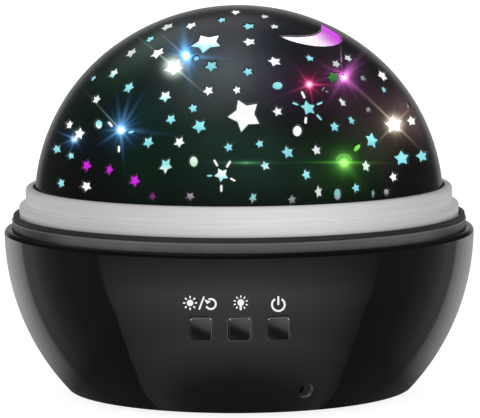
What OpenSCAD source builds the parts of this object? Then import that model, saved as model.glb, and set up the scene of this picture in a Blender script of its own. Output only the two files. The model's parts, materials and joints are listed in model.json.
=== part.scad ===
// Star night light projector: a bowl-shaped base carrying a motor-driven
// turntable, and a lift-off star dome over a four-lamp light source.
// Millimetres. Z is up, the origin is on the floor under the middle of the
// base, and the control panel faces -Y.

/* [Base] */
// Largest radius of the base bowl
body_r = 65; // [64.8:0.1:66]
// Wall thickness of the base bowl
shell_wall = 2; // [1.8:0.1:2.1]
// Height of the base rim above the floor
rim_z = 45.6; // [45.2:0.1:45.8]
// How far the rubber feet stand proud of the base
foot_h = 1.0; // [1:0.1:1.1]

/* [Turntable ring] */
// Radius of the lower step of the silver ring
ring_low_r = 60.8; // [60.4:0.1:60.8]
// Radius of the upper step of the silver ring
ring_top_r = 59.0; // [58.6:0.1:59.4]
// Height of the top edge of the silver ring
ring_top_z = 57.2; // [56.6:0.1:57.6]

/* [Star dome] */
// Rows of star windows round the dome
star_rows = 6; // [3:1:6]
// Point-to-point radius of a star window in the lowest row
star_size = 2.3; // [1.6:0.1:2.4]
// Width of the star windows in the top row against the lowest row
star_taper = 1.25; // [1:0.05:1.3]

/* [Buttons] */
// Distance between the centres of neighbouring buttons
btn_pitch = 10.1; // [9.8:0.1:10.1]
// Width of a button cap
btn_w = 5.9; // [5.2:0.1:6.0]
// Height of a button cap
btn_h = 6.5; // [5.6:0.1:6.6]
// How far the button caps stand proud of the bowl
btn_proud = 0.35; // [0.1:0.05:0.6]

/* [Power] */
// Radius of the centre pin of the power socket
jack_pin_r = 0.65; // [0.6:0.05:0.7]
// Radius of the bore of the power socket
jack_bore_r = 1.8; // [1.75:0.05:1.85]

/* [Drive] */
// Teeth on the turntable gear
ring_teeth = 60; // [60:12:60]
// Gear module
gear_m = 0.8; // [0.8:0.1:0.8]

/* [Hidden] */
$fn = 96;

body_zc = 45.05;                   // height of the bowl's centre
base_z = foot_h;                   // bottom edge of the bowl
inner_r = body_r - shell_wall;
collar_r = 62.8;
collar_z = 48.1;                   // the rim cap sits here
ctrl_z = 25.6;                     // height of the button row
tilt = asin((body_zc - ctrl_z) / body_r);
jack_az = 19.3;
jack_z = 7.3;
deck_z = 44.5;                     // top face of the deck
gear_z0 = 45.4;
disc_z = 48.0;                     // underside of the turntable disc
shelf_z = 51.0;                    // the dome stands here
post_top = 55.0;
post_r = 8.0;
cup = 16;                          // case posts: bore depth
bay_x = 21.8;
bay_y = 25.5;
bay_z0 = 2.9;
bay_z1 = 13.6;
cell_x = [-16.2, -5.4, 5.4, 16.2];
cell_z = 8.2;
case_pts = [for (a = [35, 145, 215, 325]) [38 * cos(a), 38 * sin(a)]];
bracket_pts = [[-29, 36], [18.5, 30], [-12, 13.5]];
idler_c = [0, 28.8];
pin_dir = 152.4;
pinion_c = [idler_c[0] + 19.2 * cos(pin_dir), idler_c[1] + 19.2 * sin(pin_dir)];
dome_r = 57.0;                     // the dome's sphere
dome_zc = 49.9;
skirt_r = 56.6;                    // its upright skirt in the ring

// ---------- shared shapes ----------

function arc(cx, cy, r, a0, a1, n) =
    [for (i = [0:n]) let (a = a0 + (a1 - a0) * i / n) [cx + r * cos(a), cy + r * sin(a)]];

function rrect(w, h, r, n = 4) = concat(
    arc(w / 2 - r, h / 2 - r, r, 0, 90, n), arc(-w / 2 + r, h / 2 - r, r, 90, 180, n),
    arc(-w / 2 + r, -h / 2 + r, r, 180, 270, n), arc(w / 2 - r, -h / 2 + r, r, 270, 360, n));

function star(r, n = 5, k = 0.5) =
    [for (i = [0:2 * n - 1]) let (a = 90 + i * 180 / n, q = i % 2 == 0 ? r : r * k)
        [q * cos(a), q * sin(a)]];

function inv(a) = tan(a) * 180 / PI - a;

// One involute spur gear outline: m module, z teeth, tooth 0 centred on the
// angle rot, pressure angle 25 degrees and each flank thinned for backlash.
function gear_pts(m, z, rot = 0, pa = 25, ha = 0.8, hf = 1.05, thin = 0.05) =
    let (rp = m * z / 2, rb = rp * cos(pa), ra = rp + ha * m, rf = rp - hf * m,
        r0 = max(rb, rf), ht = 90 / z - thin / rp * 180 / PI,
        rs = [r0, (r0 + rp) / 2, rp, (rp + ra) / 2, ra],
        hs = [for (r = rs) ht + inv(pa) - inv(acos(min(1, rb / r)))])
    [for (i = [0:z - 1]) let (c = rot + i * 360 / z)
        each concat(
            rb > rf ? [[rf * cos(c - hs[0]), rf * sin(c - hs[0])]] : [],
            [for (k = [0:4]) [rs[k] * cos(c - hs[k]), rs[k] * sin(c - hs[k])]],
            [for (k = [4:-1:0]) [rs[k] * cos(c + hs[k]), rs[k] * sin(c + hs[k])]],
            rb > rf ? [[rf * cos(c + hs[0]), rf * sin(c + hs[0])]] : [])];

module gear(m, z, h, rot = 0) linear_extrude(height = h) polygon(gear_pts(m, z, rot));

// Phase of gear B so that it meshes with gear A at rest. th is the direction
// from A to B, and ra is the angle of A's tooth 0.
function mesh_rot(za, ra, zb, th) =
    let (pa = (th - ra) * za / 360, fa = pa - floor(pa))
    th + 180 - (0.5 - fa) * 360 / zb;

// Frame on the bowl's front: local Z runs out through the button row, local
// origin is the bowl's centre.
module on_panel() translate([0, 0, body_zc]) rotate([90 + tilt, 0, 0]) children();
// Frame of the power socket: local -Y runs out of the socket.
module at_jack() rotate([0, 0, jack_az]) translate([0, 0, jack_z]) children();
module along_y(r, y0, y1) translate([0, y0, 0]) rotate([-90, 0, 0]) cylinder(r = r, h = y1 - y0);
module ring(r0, r1, z0, z1) translate([0, 0, z0]) difference() {
    cylinder(r = r1, h = z1 - z0);
    translate([0, 0, -1]) cylinder(r = r0, h = z1 - z0 + 2);
}
module screw(x, y, z, head_r, head_h, r, len) translate([x, y, z]) {
    cylinder(r = head_r, h = head_h, $fn = 32);
    translate([0, 0, head_h]) cylinder(r = r, h = len, $fn = 32);
}

// A wire swept along hand-placed points with nsides sides.
function unit(v) = v / norm(v);
function tangent(p, i) = unit(p[min(i + 1, len(p) - 1)] - p[max(i - 1, 0)]);
function side_of(t, up) = let (s = cross(t, up)) norm(s) < 0.05 ? unit(cross(t, [1, 0, 0.01])) : unit(s);
function smooth(p, n) = [for (i = [0:len(p) - 2]) for (k = [0:n - 1])
    let (t = k / n, a = p[max(i - 1, 0)], b = p[i], c = p[i + 1], d = p[min(i + 2, len(p) - 1)])
    0.5 * ((2 * b) + (c - a) * t + (2 * a - 5 * b + 4 * c - d) * t * t + (3 * b - a - 3 * c + d) * t * t * t),
    p[len(p) - 1]];
function frames(p, i = 0, s = undef) = let (t = tangent(p, i),
        s0 = is_undef(s) ? side_of(t, [0, 0, 1]) : unit(s - (s * t) * t))
    i == len(p) - 1 ? [[s0, cross(t, s0)]] : concat([[s0, cross(t, s0)]], frames(p, i + 1, s0));
module tube(p, r, nsides = 6) {
    f = frames(p);
    m = len(p);
    pts = [for (i = [0:m - 1]) for (k = [0:nsides - 1])
        p[i] + r * cos(k * 360 / nsides) * f[i][0] + r * sin(k * 360 / nsides) * f[i][1]];
    polyhedron(points = pts, faces = concat(
        [[for (k = [0:nsides - 1]) k]],
        [[for (k = [nsides - 1:-1:0]) (m - 1) * nsides + k]],
        [for (i = [0:m - 2]) for (k = [0:nsides - 1]) let (a = i * nsides + k, b = i * nsides + (k + 1) % nsides)
            each [[a, a + nsides, b], [b, a + nsides, b + nsides]]]));
}

// ---------- base ----------

module shell_profile() {
    difference() {
        intersection() {
            translate([0, body_zc]) circle(r = body_r, $fn = 128);
            translate([0, base_z]) square([body_r + 2, rim_z - 1.2 - base_z]);
        }
        translate([0, body_zc]) circle(r = inner_r, $fn = 128);
    }
    // rim with its rounded outer edge
    polygon(concat([[inner_r - 0.05, rim_z - 1.25], [body_r - 0.01, rim_z - 1.25]],
        arc(body_r - 1.21, rim_z - 1.2, 1.2, 0, 90, 5), [[inner_r - 0.05, rim_z]]));
    // ledge that the bottom cover is drawn up against
    difference() {
        intersection() {
            translate([0, body_zc]) circle(r = inner_r + 0.6, $fn = 128);
            translate([41.5, 3.2]) square([20, 1.5]);
        }
    }
    // shelf that the top cover's skirt stands on
    intersection() {
        translate([0, body_zc]) circle(r = inner_r + 0.6, $fn = 128);
        translate([60.2, 38.9]) square([10, 1.8]);
    }
}

module panel_boss_bores() on_panel() for (s = [-1, 1]) translate([s * 17.5, 0, 54]) cylinder(r = 0.85, h = 6.5, $fn = 32);

module base_shell() color([0.03, 0.03, 0.035]) difference() {
    union() {
        rotate_extrude() shell_profile();
        // board bosses behind the panel
        intersection() {
            on_panel() for (s = [-1, 1]) translate([s * 17.5, 0, 55.5]) cylinder(r = 2.1, h = 8, $fn = 32);
            translate([0, 0, body_zc]) sphere(r = inner_r + 0.8);
        }
        // cradle for the power socket
        at_jack() for (s = [-1, 1]) translate([s * 3.8 - 0.6, -46.2, 4.4 - jack_z]) cube([1.2, 5, 5.4]);
    }
    on_panel() for (k = [-1:1]) translate([k * btn_pitch, 0, 58]) linear_extrude(height = 12)
        polygon(rrect(btn_w + 0.6, btn_h + 0.6, 1.0));
    panel_boss_bores();
    at_jack() along_y(1.9, -60, -47);
}

module top_cover() color([0.10, 0.10, 0.105]) difference() {
    union() {
        // collar: upright wall with a softened edge
        difference() {
            rotate_extrude() polygon(concat([[60.4, 40.7], [collar_r, 40.7]],
                arc(collar_r - 0.25, collar_z - 0.25, 0.25, 0, 90, 3), [[61.3, collar_z], [60.4, 43.5]]));
            // groove that holds the rim cap
            ring(61.7, 62.1, collar_z - 0.8, collar_z + 1);
        }
        translate([0, 0, 42.5]) cylinder(r = 60.6, h = deck_z - 42.5);
        // spindle for the turntable
        translate([0, 0, 42.5]) cylinder(r = post_r, h = post_top - 42.5);
        for (p = case_pts) translate([p[0], p[1], 3.2]) cylinder(r = 3.2, h = 40, $fn = 48);
        for (p = bracket_pts) translate([p[0], p[1], 37.5]) cylinder(r = 2.8, h = 5.5, $fn = 48);
    }
    translate([0, 0, 40]) cylinder(r = 5.5, h = 20);
    ring(post_r - 0.6, post_r + 1, 53.2, 54.0);
    translate([idler_c[0], idler_c[1], 40]) cylinder(r = 6.4, h = 6);
    for (p = case_pts) translate([p[0], p[1], 2]) cylinder(r = 1.45, h = cup, $fn = 32);
    for (p = bracket_pts) translate([p[0], p[1], 35]) cylinder(r = 0.85, h = 8.0, $fn = 32);
    for (s = [-1, 1]) translate([s * 6.6, 0, 51]) cylinder(r = 0.6, h = 6, $fn = 32);
}

module rim_cap() color([0.05, 0.05, 0.055]) {
    rotate_extrude() polygon(concat([[61.3, collar_z]],
        [[collar_r - 0.3, collar_z]], arc(collar_r - 0.6, 49.2, 0.3, 0, 90, 3), [[61.3, 49.5]]));
    ring(61.75, 62.05, collar_z - 0.7, collar_z + 0.1);
}

module bottom_cover() color([0.09, 0.09, 0.095]) difference() {
    union() {
        translate([0, 0, 1.2]) cylinder(r = 44.9, h = 2.0);
        // walls and roof of the battery bay
        translate([-bay_x - 1.5, -bay_y - 1.5, 1.2]) cube([2 * bay_x + 3, 2 * bay_y + 3, bay_z1 + 1.2 - 1.2]);
    }
    translate([-bay_x, -bay_y, 2.9]) cube([2 * bay_x, 2 * bay_y, bay_z1 - 2.9]);
    translate([-bay_x - 0.4, -bay_y - 0.4, 0]) cube([2 * bay_x + 0.8, 2 * bay_y + 0.8, 3]);
    // sockets for the battery door's hinge pins
    translate([-bay_x - 1.45, bay_y - 0.7, 2.0]) rotate([0, 90, 0]) cylinder(r = 0.66, h = 2 * bay_x + 2.9, $fn = 48);
    for (p = case_pts) translate([p[0], p[1], 0]) {
        cylinder(r = 1.6, h = 5, $fn = 32);
        cylinder(r = 3.1, h = 2.2, $fn = 48);
    }
    for (a = [0, 90, 180, 270]) rotate([0, 0, a]) translate([37.8, 0, 0]) cylinder(r = 4.6, h = 1.8, $fn = 64);
    // finger notch beside the door's free end
    translate([-6, -bay_y - 1.4, 0]) cube([12, 1.4, 2.0]);
}

module rubber_feet() color([0.05, 0.05, 0.05]) for (a = [0, 90, 180, 270]) rotate([0, 0, a])
    translate([37.8, 0, 0]) rotate_extrude($fn = 64)
        polygon(concat([[0, 0], [4.0, 0]], arc(4.0, 0.4, 0.4, -90, 0, 4), [[4.4, 1.8], [0, 1.8]]));

module case_screws() color([0.55, 0.55, 0.57]) for (p = case_pts) difference() {
    screw(p[0], p[1], 1.3, 2.8, 0.9, 1.4, 13);
    translate([p[0] - 1.6, p[1] - 0.35, 0]) cube([3.2, 0.7, 1.8]);
    translate([p[0] - 0.35, p[1] - 1.6, 0]) cube([0.7, 3.2, 1.8]);
}

module battery_door() color([0.09, 0.09, 0.095]) difference() {
    union() {
        translate([-bay_x, -bay_y - 0.1, 1.2]) cube([2 * bay_x, 2 * bay_y + 0.1 - 0.7, 1.6]);
        translate([-bay_x, bay_y - 0.7, 2.0]) rotate([0, 90, 0]) cylinder(r = 0.8, h = 2 * bay_x, $fn = 48);
        translate([-bay_x - 1.2, bay_y - 0.7, 2.0]) rotate([0, 90, 0]) cylinder(r = 0.6, h = 2 * bay_x + 2.4, $fn = 48);
    }
    // grip grooves
    for (k = [0:3]) translate([-7, -bay_y + 3 + 1.6 * k, 1.1]) cube([14, 0.7, 0.5]);
}

module battery_cells() for (i = [0:3]) let (d = i % 2 == 0 ? 1 : -1) {
    color([0.16, 0.33, 0.52]) translate([cell_x[i], 0, cell_z]) scale([1, d, 1]) along_y(5.2, -19.3, 24.2);
    color([0.75, 0.75, 0.75]) translate([cell_x[i], 0, cell_z]) scale([1, d, 1]) along_y(1.9, 24.2, 25.2);
}

function coil(y0, y1, r0, r1, turns, n) = [for (k = [0:turns * n])
    let (t = k / (turns * n), a = k * 360 / n, r = r0 + (r1 - r0) * t)
    [r * cos(a), y0 + (y1 - y0) * t, r * sin(a)]];

module battery_springs() color([0.72, 0.72, 0.74]) for (i = [0:3]) let (d = i % 2 == 0 ? 1 : -1)
    translate([cell_x[i], 0, cell_z]) rotate([0, 0, d > 0 ? 0 : 180])
        tube(coil(-19.72, -24.78, 2.0, 3.7, 4, 12), 0.38, 6);

module battery_contacts() color([0.72, 0.72, 0.74]) {
    for (i = [0:3]) let (d = i % 2 == 0 ? 1 : -1) {
        translate([cell_x[i] - 3.6, d > 0 ? 25.2 : -25.5, cell_z - 4.2]) cube([7.2, 0.3, 8.4]);
        translate([cell_x[i] - 4.2, d > 0 ? -25.5 : 25.2, cell_z - 4.6]) cube([8.4, 0.3, 9.2]);
    }
    // bridges between neighbouring contacts
    for (x = [cell_x[0], cell_x[2]]) translate([x, 25.2, cell_z + 1]) cube([10.8, 0.3, 2]);
    translate([cell_x[1], -25.5, cell_z + 1]) cube([10.8, 0.3, 2]);
}

// ---------- controls ----------

module control_board() color([0.08, 0.30, 0.16]) on_panel() difference() {
    translate([0, 0, 53.9]) linear_extrude(height = 1.6) polygon(rrect(42, 15, 1.5));
    for (s = [-1, 1]) translate([s * 17.5, 0, 53]) cylinder(r = 1.1, h = 4, $fn = 32);
}

module board_screws() color([0.6, 0.6, 0.62]) on_panel() for (s = [-1, 1])
    screw(s * 17.5, 0, 52.9, 1.9, 1.0, 0.8, 5.6);

module tact_switches() color([0.12, 0.12, 0.13]) on_panel() for (k = [-1:1]) difference() {
    translate([k * btn_pitch - 3, -3, 55.5]) cube([6, 6, 3.4]);
    translate([k * btn_pitch, 0, 57.3]) cylinder(r = 1.8, h = 3, $fn = 48);
}

module driver_chip() color([0.07, 0.07, 0.08]) on_panel() {
    translate([-4, -2, 52.1]) cube([8, 4, 1.5]);
    for (s = [-1, 1]) for (k = [0:3]) {
        translate([-3.3 + 1.9 * k, s > 0 ? 2 : -2.9, 52.6]) cube([0.5, 0.9, 0.3]);
        translate([-3.3 + 1.9 * k, s > 0 ? 2.6 : -2.9, 52.9]) cube([0.5, 0.3, 1.0]);
    }
}

module button_cap(k) color([0.03, 0.03, 0.035]) intersection() {
    on_panel() {
        translate([k * btn_pitch, 0, 58.9 + 1.0]) linear_extrude(height = 10) polygon(rrect(btn_w, btn_h, 0.8));
        translate([k * btn_pitch, 0, 59.9]) linear_extrude(height = 0.9)
            polygon(rrect(btn_w + 1.8, btn_h + 1.8, 1.0));
    }
    translate([0, 0, body_zc]) sphere(r = body_r + btn_proud);
}

module plunger(k) color([0.75, 0.72, 0.65]) on_panel()
    translate([k * btn_pitch, 0, 58.1]) cylinder(r = 1.7, h = 1.8, $fn = 48);

// ---------- power socket ----------

module dc_socket() color([0.06, 0.06, 0.065]) at_jack() difference() {
    translate([-3.1, -46.9, -2.4]) cube([6.2, 9.4, 5.8]);
    along_y(jack_bore_r, -50, -38.9);
}

module dc_socket_pin() color([0.78, 0.76, 0.70]) at_jack() {
    along_y(jack_pin_r, -45.4, -38.9);
    translate([-1.2, -37.5, -0.4]) cube([0.8, 1.6, 0.8]);
    translate([0.6, -37.5, -0.4]) cube([0.8, 1.6, 0.8]);
}

// ---------- drive ----------

module at_pinion() translate([pinion_c[0], pinion_c[1], 0]) children();

module motor_can() color([0.70, 0.70, 0.72]) at_pinion() {
    intersection() {
        translate([0, 0, 13.0]) cylinder(r = 6, h = 13.5);
        translate([-6, -5, 11]) cube([12, 10, 20]);
    }
    translate([0, 0, 12.0]) cylinder(r = 2.2, h = 1.0);
}

module motor_gearbox() color([0.80, 0.68, 0.42]) at_pinion() difference() {
    union() {
        translate([-6, -5, 26.5]) cube([12, 10, 1.0]);
        translate([-6, -5, 34.5]) cube([12, 10, 1.0]);
        translate([-5.2, -4.4, 27.5]) cube([10.4, 8.8, 7.0]);
    }
    for (s = [-1, 1]) translate([s * 4.5, 0, 32]) cylinder(r = 0.85, h = 5, $fn = 32);
}

module motor_shaft() color([0.75, 0.75, 0.77]) at_pinion() translate([0, 0, 35.5]) cylinder(r = 1.5, h = 6.3);

module motor_pinion() color([0.93, 0.92, 0.88]) at_pinion() difference() {
    translate([0, 0, 38.6]) gear(gear_m, 12, 2.6,
        mesh_rot(36, 0, 12, pin_dir));
    translate([0, 0, 37]) cylinder(r = 1.5, h = 5);
}

module motor_bracket() color([0.20, 0.20, 0.21]) difference() {
    translate([0, 0, 35.5]) linear_extrude(height = 2.0)
        polygon([[-33, 31], [-33, 40], [-26, 45], [-10, 45], [-3, 36], [22, 33.5], [22, 26],
            [6, 22], [-8, 9.5], [-16, 9.5], [-16, 20], [-24, 31]]);
    at_pinion() translate([0, 0, 30]) cylinder(r = 2.2, h = 10, $fn = 48);
    for (s = [-1, 1]) at_pinion() translate([s * 4.5, 0, 30]) cylinder(r = 0.95, h = 10, $fn = 32);
    translate([idler_c[0], idler_c[1], 30]) cylinder(r = 1.0, h = 10, $fn = 48);
    for (p = bracket_pts) translate([p[0], p[1], 30]) cylinder(r = 1.1, h = 10, $fn = 32);
}

module bracket_screws() color([0.6, 0.6, 0.62]) {
    for (p = bracket_pts) screw(p[0], p[1], 34.3, 1.9, 1.2, 0.8, 6.5);
    for (s = [-1, 1]) at_pinion() translate([s * 4.5, 0, 0]) {
        translate([0, 0, 37.5]) cylinder(r = 1.4, h = 0.8, $fn = 32);
        translate([0, 0, 33.0]) cylinder(r = 0.8, h = 4.6, $fn = 32);
    }
}

module idler_gear() color([0.93, 0.92, 0.88]) translate([idler_c[0], idler_c[1], 0]) difference() {
    union() {
        translate([0, 0, 37.7]) cylinder(r = 2.6, h = 0.9);
        translate([0, 0, 38.6]) gear(gear_m, 36, 2.6, 0);
        translate([0, 0, 41.2]) gear(gear_m, 12, 6.2, mesh_rot(ring_teeth, 0, 12, 90));
    }
    translate([0, 0, 36]) cylinder(r = 1.06, h = 12, $fn = 48);
}

module idler_axle() color([0.75, 0.75, 0.77]) translate([idler_c[0], idler_c[1], 35.5]) cylinder(r = 1.0, h = 12.2, $fn = 48);

// ---------- turntable ----------

module thrust_washer() color([0.88, 0.88, 0.86]) ring(post_r + 0.1, 12, deck_z, deck_z + 0.5);

module turntable_disc() color([0.90, 0.90, 0.89]) difference() {
    union() {
        translate([0, 0, disc_z]) cylinder(r = 55.8, h = 1.5);
        translate([0, 0, deck_z + 0.5]) cylinder(r = 11.2, h = 8.0);
        ring(50.2, 51.6, disc_z - 1.6, disc_z + 0.1);
    }
    translate([0, 0, 40]) cylinder(r = post_r + 0.06, h = 20);
    for (a = [0, 90, 180, 270]) rotate([0, 0, a + 45]) {
        translate([20.5, 0, 46]) cylinder(r = 0.9, h = 4, $fn = 32);
        translate([53.9, 0, 46]) cylinder(r = 0.95, h = 4, $fn = 32);
    }
}

module turntable_gear() color([0.93, 0.92, 0.88]) difference() {
    translate([0, 0, gear_z0]) gear(gear_m, ring_teeth, disc_z - gear_z0, 0);
    translate([0, 0, 40]) cylinder(r = 17.5, h = 10);
    for (a = [0, 90, 180, 270]) rotate([0, 0, a + 45]) translate([20.5, 0, 0]) {
        translate([0, 0, 40]) cylinder(r = 0.95, h = 10, $fn = 32);
        translate([0, 0, 40]) cylinder(r = 1.8, h = 6.7, $fn = 32);
    }
}

module turntable_screws() color([0.6, 0.6, 0.62]) for (a = [0, 90, 180, 270]) rotate([0, 0, a + 45]) {
    screw(20.5, 0, 45.6, 1.6, 1.1, 0.85, 2.7);
    screw(53.9, 0, 47.0, 1.6, 1.0, 0.8, 2.6);
}

module retaining_clip() color([0.62, 0.62, 0.64]) difference() {
    ring(post_r - 0.55, 10.2, 53.2, 54.0);
    translate([-1.5, 0, 50]) cube([3, 12, 5]);
}

module silver_ring() color([0.75, 0.75, 0.76]) difference() {
    rotate_extrude($fn = 128) polygon(concat(
        [[56.0, 48.2], [ring_low_r - 0.3, 48.2]], arc(ring_low_r - 0.3, 48.5, 0.3, -60, 0, 2),
        arc(ring_low_r - 0.8, 51.6, 0.8, 0, 80, 5),
        [[ring_top_r, 52.6]],
        arc(ring_top_r - 1.1, ring_top_z - 1.1, 1.1, 0, 90, 6),
        [[57.2, ring_top_z], [56.9, ring_top_z - 0.3], [56.9, shelf_z], [52.3, shelf_z],
            [52.3, disc_z + 1.5], [56.0, disc_z + 1.5]]));
    for (a = [0, 90, 180, 270]) rotate([0, 0, a + 45]) translate([53.9, 0, 46]) cylinder(r = 0.85, h = 4.75, $fn = 32);
}

// ---------- light source ----------

module led_board() color([0.92, 0.92, 0.90]) difference() {
    translate([0, 0, post_top]) cylinder(r = 9.5, h = 1.2);
    for (s = [-1, 1]) translate([s * 6.6, 0, 50]) cylinder(r = 0.7, h = 8, $fn = 32);
}

module led_board_screws() color([0.6, 0.6, 0.62]) for (s = [-1, 1]) {
    translate([s * 6.6, 0, post_top + 1.2]) cylinder(r = 1.2, h = 0.8, $fn = 32);
    translate([s * 6.6, 0, post_top - 3.5]) cylinder(r = 0.55, h = 4.8, $fn = 32);
}

module led(x, y, c) color(c) translate([x, y, post_top + 1.2]) {
    cylinder(r = 2.9, h = 1.0, $fn = 64);
    cylinder(r = 2.5, h = 6.1, $fn = 64);
    translate([0, 0, 6.1]) sphere(r = 2.5, $fn = 64);
}

// ---------- dome ----------

// The dome's solid, t mm inside its outer surface: a sphere that runs into an
// upright skirt inside the silver ring.
module dome_solid(t, z0) intersection() {
    translate([0, 0, dome_zc]) sphere(r = dome_r - t, $fn = 128);
    translate([0, 0, z0]) cylinder(r = skirt_r - t, h = 80, $fn = 128);
}

module dome_shell(t0, t1, z0) difference() {
    dome_solid(t0, z0);
    dome_solid(t1, z0 - 1);
}

module dome_lens() color([0.75, 0.80, 0.85]) dome_shell(0.7, 2.1, shelf_z);

// Star windows in rings round the dome, each row staggered against the last.
row_n = [22, 19, 16, 12, 8, 4];
row_el = [9, 22, 35, 48, 61, 74];
module windows() translate([0, 0, dome_zc]) for (j = [0:star_rows - 1]) for (i = [0:row_n[j] - 1])
    let (az = 360 / row_n[j] * (i + 0.5 * (j % 2)), el = row_el[j] + ((i * 7 + j * 3) % 3 - 1) * 2,
        s = star_size * (1 + (star_taper - 1) * j / 5) * (0.75 + 0.25 * ((i * 5 + j) % 3)))
    rotate([0, 0, az]) rotate([0, 90 - el, 0]) rotate([0, 0, (i * 37 + j * 11) % 72])
        translate([0, 0, 40]) linear_extrude(height = 25) polygon(star(s));

module star_mask() color([0.04, 0.04, 0.045]) difference() {
    dome_shell(0, 0.6, shelf_z + 0.8);
    windows();
}

// ---------- hook-up wires ----------

// A point given in the panel's frame or in the power socket's frame.
function panel(x, y, z) = [x, -y * sin(tilt) - z * cos(tilt), body_zc + y * cos(tilt) - z * sin(tilt)];
function jack(x, y, z) = [x * cos(jack_az) - y * sin(jack_az), x * sin(jack_az) + y * cos(jack_az), jack_z + z];

module lamp_leads() color([0.8, 0.8, 0.8]) for (s = [-1, 1])
    tube(smooth([[s * 0.9, 0, 55], [s * 0.9, 0, 50], [s * 0.9, -1, 43], [s * 0.9, -6, 39.5],
        [s * 0.9, -18, 38], [s * 1.4, -34, 37], panel(s * 2.4, 4, 50), panel(s * 2.4, 4, 53.84)], 3), 0.6, 8);

module motor_leads() color([0.75, 0.12, 0.10]) for (s = [-1, 1])
    tube(smooth([[pinion_c[0] + s * 1.2, pinion_c[1], 11.9], [pinion_c[0] + s * 1.2, pinion_c[1], 10],
        [-24, 36, 8.6 + s], [-37, 27, 16 + s], [-42, 8, 22 + s], [-40, -14, 24 + s],
        [-30, -33, 24 + s], [-19, -42, 24.5 + s], panel(-13, s - 4, 50.5), panel(-13, s - 4, 53.84)], 3), 0.6, 8);

module battery_leads() color([0.75, 0.12, 0.10]) for (s = [-1, 1])
    tube(smooth([[s * 21.6, -27, 9.4], [s * 21.6, -30, 11], [s * 20, -36, 20], [s * 14, -42, 29],
        panel(s * 9, 4.5, 50), panel(s * 9, 4.5, 53.84)], 3), 0.6, 8);

module socket_leads() color([0.12, 0.12, 0.13]) for (s = [0, 1])
    tube(smooth([jack(s * 1.8 - 0.8, -35.9, 0), jack(s * 1.8 - 0.8, -34.4, 0.8), jack(s * 1.8 - 0.8, -34.8, 6),
        [s * 1.8 + 11, -40, 19], panel(s * 1.8 + 12.6, -4.5, 50.5), panel(s * 1.8 + 12.6, -4.5, 53.84)], 3), 0.6, 8);

// ---------- assembly ----------

base_shell();
top_cover();
rim_cap();
bottom_cover();
rubber_feet();
case_screws();
battery_cells();
battery_springs();
battery_contacts();
battery_door();
control_board();
board_screws();
tact_switches();
driver_chip();
button_cap(-1);  // mode_button
plunger(-1);  // mode_plunger
button_cap(0);  // colour_button
plunger(0);  // colour_plunger
button_cap(1);  // power_button
plunger(1);  // power_plunger
dc_socket();
dc_socket_pin();
motor_can();
motor_gearbox();
motor_shaft();
motor_pinion();
motor_bracket();
bracket_screws();
idler_gear();
idler_axle();
thrust_washer();
turntable_disc();
turntable_gear();
turntable_screws();
retaining_clip();
silver_ring();
led_board();
led_board_screws();
led(3.2, 3.2, [1.0, 0.95, 0.82]);  // led_warm_white
led(-3.2, 3.2, [0.95, 0.25, 0.22]);  // led_red
led(-3.2, -3.2, [0.25, 0.85, 0.35]);  // led_green
led(3.2, -3.2, [0.25, 0.40, 0.95]);  // led_blue
dome_lens();
star_mask();
lamp_leads();
motor_leads();
battery_leads();
socket_leads();
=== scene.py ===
import math
import json

import bpy
from mathutils import Matrix, Vector
from mathutils.geometry import delaunay_2d_cdt, tessellate_polygon


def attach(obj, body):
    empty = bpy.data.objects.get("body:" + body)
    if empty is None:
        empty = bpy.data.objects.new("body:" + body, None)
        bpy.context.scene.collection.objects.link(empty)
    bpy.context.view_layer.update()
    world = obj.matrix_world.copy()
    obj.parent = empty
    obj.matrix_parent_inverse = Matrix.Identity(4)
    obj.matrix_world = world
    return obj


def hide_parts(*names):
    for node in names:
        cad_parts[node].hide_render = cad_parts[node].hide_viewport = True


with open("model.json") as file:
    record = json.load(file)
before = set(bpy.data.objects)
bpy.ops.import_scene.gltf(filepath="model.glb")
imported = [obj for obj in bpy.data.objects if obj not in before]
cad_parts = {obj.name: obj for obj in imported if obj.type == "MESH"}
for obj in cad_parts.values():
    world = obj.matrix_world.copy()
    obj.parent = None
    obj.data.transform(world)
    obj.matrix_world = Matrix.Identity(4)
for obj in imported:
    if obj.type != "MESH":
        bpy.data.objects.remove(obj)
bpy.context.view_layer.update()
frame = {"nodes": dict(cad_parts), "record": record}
scene = bpy.context.scene

rad, deg = math.radians, math.degrees
TAU = 2 * math.pi


def lin(r, g, b, k=1.0):
    """An sRGB colour of 0 to 255 as linear light."""
    f = lambda c: (c / 255 / 12.92) if c / 255 <= 0.04045 else ((c / 255 + 0.055) / 1.055) ** 2.4
    return (f(r) * k, f(g) * k, f(b) * k)


# ------------------------------------------------------------------ camera

F_PX = 3425.0
CAM_POS = Vector((0.28, -944.0, 156.5))
PITCH, ROLL = 6.43, -0.33
cam_rot = Matrix.Rotation(rad(90 - PITCH), 3, "X") @ Matrix.Rotation(rad(ROLL), 3, "Z")
cam_data = bpy.data.cameras.new("camera")
cam_data.sensor_width = 36.0
cam_data.lens = F_PX / 480 * 36.0
cam_data.clip_start, cam_data.clip_end = 0.01, 50
RIGHT, UP, TO_VIEW = cam_rot @ Vector((1, 0, 0)), cam_rot @ Vector((0, 1, 0)), cam_rot @ Vector((0, 0, 1))
camera = bpy.data.objects.new("camera", cam_data)
camera.matrix_world = Matrix.Translation(CAM_POS / 1000) @ cam_rot.to_4x4()
scene.collection.objects.link(camera)
scene.camera = camera


def ray(px, py):
    """Direction in world space through a pixel of the 480 x 418 frame."""
    return (cam_rot @ Vector(((px - 240.0) / F_PX, -(py - 209.0) / F_PX, -1.0))).normalized()


def hit_sphere(px, py, centre, r):
    d = ray(px, py)
    o = CAM_POS - centre
    b, c = o.dot(d), o.dot(o) - r * r
    disc = b * b - c
    if disc < 0:
        return None
    return CAM_POS + d * (-b - math.sqrt(disc))


# ------------------------------------------------------------------ mesh help


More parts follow.
